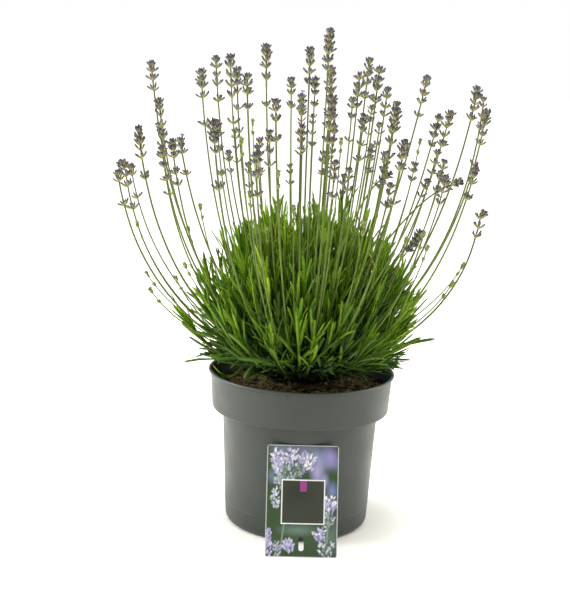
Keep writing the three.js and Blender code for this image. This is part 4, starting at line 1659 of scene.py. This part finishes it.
# %% Hanging slot
slot_ends = (SLOT_LOW + SLOT_HALF_WIDTH, SLOT_HIGH - SLOT_HALF_WIDTH)
slot_cuts = [(Vector((side * SLOT_HALF_WIDTH, 0, 0)), Vector((side, 0, 0))) for side in (-1, 1)]
for centre_height, up_down in zip(slot_ends, (-1, 1)):
    for degrees in (22, 45, 68, 90, 112, 135, 158):
        angle = math.radians(degrees)
        way = Vector((math.cos(angle), up_down * math.sin(angle), 0))
        slot_cuts.append((Vector((0, centre_height, 0)) + way * SLOT_HALF_WIDTH, way))
for place, way in slot_cuts:
    window = faces_within(
        card_shape, -2 * SLOT_HALF_WIDTH, 2 * SLOT_HALF_WIDTH, SLOT_LOW - 2 * MM, SLOT_HIGH + 2 * MM
    )
    cut_card(card_shape, window, place, way, False)
in_slot = []
for face in faces_within(card_shape, -SLOT_HALF_WIDTH, SLOT_HALF_WIDTH, SLOT_LOW, SLOT_HIGH):
    centre = face.calc_center_median()
    if all((centre - place).dot(way) < 0 for place, way in slot_cuts):
        in_slot.append(face)
bmesh.ops.delete(card_shape, geom=in_slot, context="FACES")
grown = bmesh.ops.extrude_face_region(card_shape, geom=card_shape.faces[:])["geom"]
lifted = [item for item in grown if isinstance(item, bmesh.types.BMVert)]
bmesh.ops.translate(card_shape, verts=lifted, vec=(0, 0, -CARD_THICKNESS))
bmesh.ops.recalc_face_normals(card_shape, faces=card_shape.faces[:])
print("card faces with its slot and thickness:", len(card_shape.faces))

# %% Helpers for the print
def linear(red, green, blue):
    """A screen colour, 0 to 255, as light."""
    values = np.array((red, green, blue), float) / 255
    return np.where(values <= 0.04045, values / 12.92, ((values + 0.055) / 1.055) ** 2.4)


card_shape.verts.ensure_lookup_table()
points = np.array([vert.co for vert in card_shape.verts]) / MM
u, v, depth = points[:, 0], points[:, 1], points[:, 2]
picture = np.zeros((len(points), 3)) + linear(56, 74, 50)


def paint(colour, mask):
    """Lays a colour over the picture where the mask is above 0."""
    picture[:] = picture * (1 - mask[:, None]) + colour * mask[:, None]


def oval(centre, size, turn=0.0, softness=0.3):
    """How much each point is inside an oval; a softness near 1 has no edge."""
    angle = math.radians(turn)
    du, dv = u - centre[0], v - centre[1]
    x = (du * math.cos(angle) + dv * math.sin(angle)) / size[0]
    y = (-du * math.sin(angle) + dv * math.cos(angle)) / size[1]
    return np.clip((1 - np.hypot(x, y)) / softness, 0, 1)


def box_mask(left, right, bottom, top):
    """1 for the points inside a box and 0 for the others."""
    return ((u > left) & (u < right) & (v > bottom) & (v < top)).astype(float)


# %% Soft background of the print
SOFT_PATCHES = (
    # centre, size in mm, turn in degrees, colour
    ((-30, 45), (14, 60), 0, linear(52, 74, 46)),
    ((0, 20), (40, 22), 0, linear(62, 80, 54)),
    ((12, 96), (30, 16), -20, linear(146, 152, 190)),
    ((-20, 104), (18, 10), 0, linear(120, 130, 150)),
    ((14, 82), (9, 20), 10, linear(168, 160, 204)),
    ((27, 97), (10, 14), 15, linear(152, 138, 196)),
    ((28, 80), (8, 9), 0, linear(50, 76, 36)),
    ((22, 74), (5, 9), 0, linear(150, 146, 200)),
    ((29, 64), (7, 12), 0, linear(120, 134, 178)),
    ((6, 100), (6, 6), 0, linear(88, 110, 84)),
    ((-30, 78), (5, 10), 0, linear(110, 130, 150)),
    ((-4, 26), (24, 7), 0, linear(104, 126, 118)),
    ((30, 20), (10, 22), 0, linear(96, 112, 104)),
)
for centre, size, turn, colour in SOFT_PATCHES:
    paint(colour, 0.9 * oval(centre, size, turn, 1.0))
print("soft patches:", len(SOFT_PATCHES))

# %% Printed spikes
dice = random.Random(31)
PETAL_COLOURS = (
    linear(236, 234, 242), linear(206, 202, 228), linear(180, 174, 212), linear(242, 239, 242),
    linear(150, 146, 192),
)
CUP_COLOURS = (linear(196, 210, 214), linear(150, 168, 158), linear(112, 132, 112), linear(74, 92, 70))
PRINT_SHADE = linear(62, 66, 86)
STALK_DOTS = 60
PETAL_GROUPS = (
    # centre in mm, number, spread and size in mm, colours
    ((-13, 84), 90, (17, 10), 3.4, CUP_COLOURS),
    ((-25, 93), 60, (5.5, 12), 3.0, PETAL_COLOURS),
    ((4, 92), 70, (9, 10), 3.2, PETAL_COLOURS),
    ((-11, 97), 50, (12, 8), 2.8, PETAL_COLOURS),
    ((-10, 82), 40, (12, 6), 2.6, CUP_COLOURS),
    ((-23, 74), 40, (5, 8), 2.3, CUP_COLOURS[:2] + PETAL_COLOURS[2:3]),
    ((-26, 56), 34, (4.5, 10), 2.4, CUP_COLOURS[:2] + PETAL_COLOURS[:2]),
    ((27, 51), 60, (6.5, 10), 2.6, PETAL_COLOURS),
    ((26, 36), 50, (6, 9), 2.3, CUP_COLOURS),
    ((18, 23), 48, (6.5, 6.5), 2.7, PETAL_COLOURS),
    ((25, 9), 80, (8, 11), 2.4, CUP_COLOURS + PETAL_COLOURS[:1]),
    ((-32, 13), 46, (4, 13), 3.0, PETAL_COLOURS[1:3]),
    ((-13, 12), 44, (6, 7), 2.8, PETAL_COLOURS[1:3]),
    ((-24, 8), 30, (4, 8), 2.2, CUP_COLOURS[:2] + PETAL_COLOURS[2:3]),
)


def printed_petals(centre, count, spread, size, colours):
    """A cluster of small petals, each with a shade under it."""
    for _ in range(count):
        turn = dice.uniform(0, 360)
        distance = dice.uniform(0, 1) ** 0.6
        place = (
            centre[0] + spread[0] * distance * math.cos(math.radians(turn)),
            centre[1] + spread[1] * distance * math.sin(math.radians(turn)),
        )
        shape = (size * dice.uniform(0.6, 1.1), size * dice.uniform(0.3, 0.55))
        lean = 90 - 50 * (place[0] - centre[0]) / spread[0] + dice.uniform(-30, 30)
        shade = (shape[0] * 1.25, shape[1] * 1.5)
        paint(PRINT_SHADE, 0.5 * oval((place[0] + 0.3, place[1] - 0.3), shade, lean, 0.6))
        paint(dice.choice(colours), 0.9 * oval(place, shape, lean, 0.5))


def printed_stalk(first, last, width, colour):
    """A row of small dots that join into a stalk."""
    for number in range(STALK_DOTS):
        share = number / (STALK_DOTS - 1)
        place = (first[0] + (last[0] - first[0]) * share, first[1] + (last[1] - first[1]) * share)
        paint(colour, 0.6 * oval(place, (width, width * 1.4), 0, 0.6))


printed_stalk((-21, 0), (-17, 34), 1.1, linear(120, 140, 112))
printed_stalk((24, 0), (27, 55), 1.3, linear(128, 150, 122))
for group in PETAL_GROUPS:
    printed_petals(*group)
print("printed petals:", sum(group[1] for group in PETAL_GROUPS))

# %% Panel, frame and edge
PANEL_MIDDLE = 1.0
PANEL_HALF = 20.4
PANEL_LOW = 33.0
FRAME_WIDTH = 1.1
TAB_HALF = 3.5
TAB_LENGTH = 10.5
panel_top = PANEL_LOW + 2 * PANEL_HALF
panel_left = PANEL_MIDDLE - PANEL_HALF
panel_right = PANEL_MIDDLE + PANEL_HALF
panel = box_mask(panel_left, panel_right, PANEL_LOW, panel_top)
paint(linear(238, 238, 232), box_mask(
    panel_left - FRAME_WIDTH, panel_right + FRAME_WIDTH, PANEL_LOW - FRAME_WIDTH, panel_top + FRAME_WIDTH
))
paint(linear(55, 59, 50), panel)
paint(linear(42, 47, 39), 0.8 * panel * oval((-5, 62), (20, 16), 0, 1.0))
paint(linear(140, 64, 124), box_mask(
    PANEL_MIDDLE - TAB_HALF, PANEL_MIDDLE + TAB_HALF, panel_top - TAB_LENGTH, panel_top
))
edge = 1 - box_mask(-CARD_WIDTH / MM / 2 + 0.8, CARD_WIDTH / MM / 2 - 0.8, 0.8, CARD_LENGTH / MM - 0.8)
paint(linear(214, 218, 214), 0.75 * edge)
paint(linear(226, 226, 220), (depth < -0.1).astype(float))
print("panel:", 2 * PANEL_HALF, "mm square, frame", FRAME_WIDTH, "mm")

# %% Card finish
card_finish, tree, shader = new_material("printed_card", 0.38, 0.4)
print_colour = add_node(tree, "ShaderNodeAttribute", {"attribute_name": "print"})
board = patchy(tree, 900.0, 1.5, (0.96, 0.96, 0.96), (1.0, 1.0, 1.0))
card_colour = multiplied(tree, print_colour.outputs["Color"], board)
set_surface(tree, shader, card_colour, 1500.0, 0.05, 0.05 * MM)
bmesh.ops.transform(card_shape, matrix=card_matrix, verts=card_shape.verts[:])
card = as_piece("plant_card", card_shape, [card_finish], ["plant_label"])
print_layer = card.data.color_attributes.new("print", "FLOAT_COLOR", "POINT")
values = np.ones((len(points), 4), np.float32)
values[:, :3] = picture
print_layer.data.foreach_set("color", values.ravel())
print("card triangles:", 2 * len(card.data.polygons))
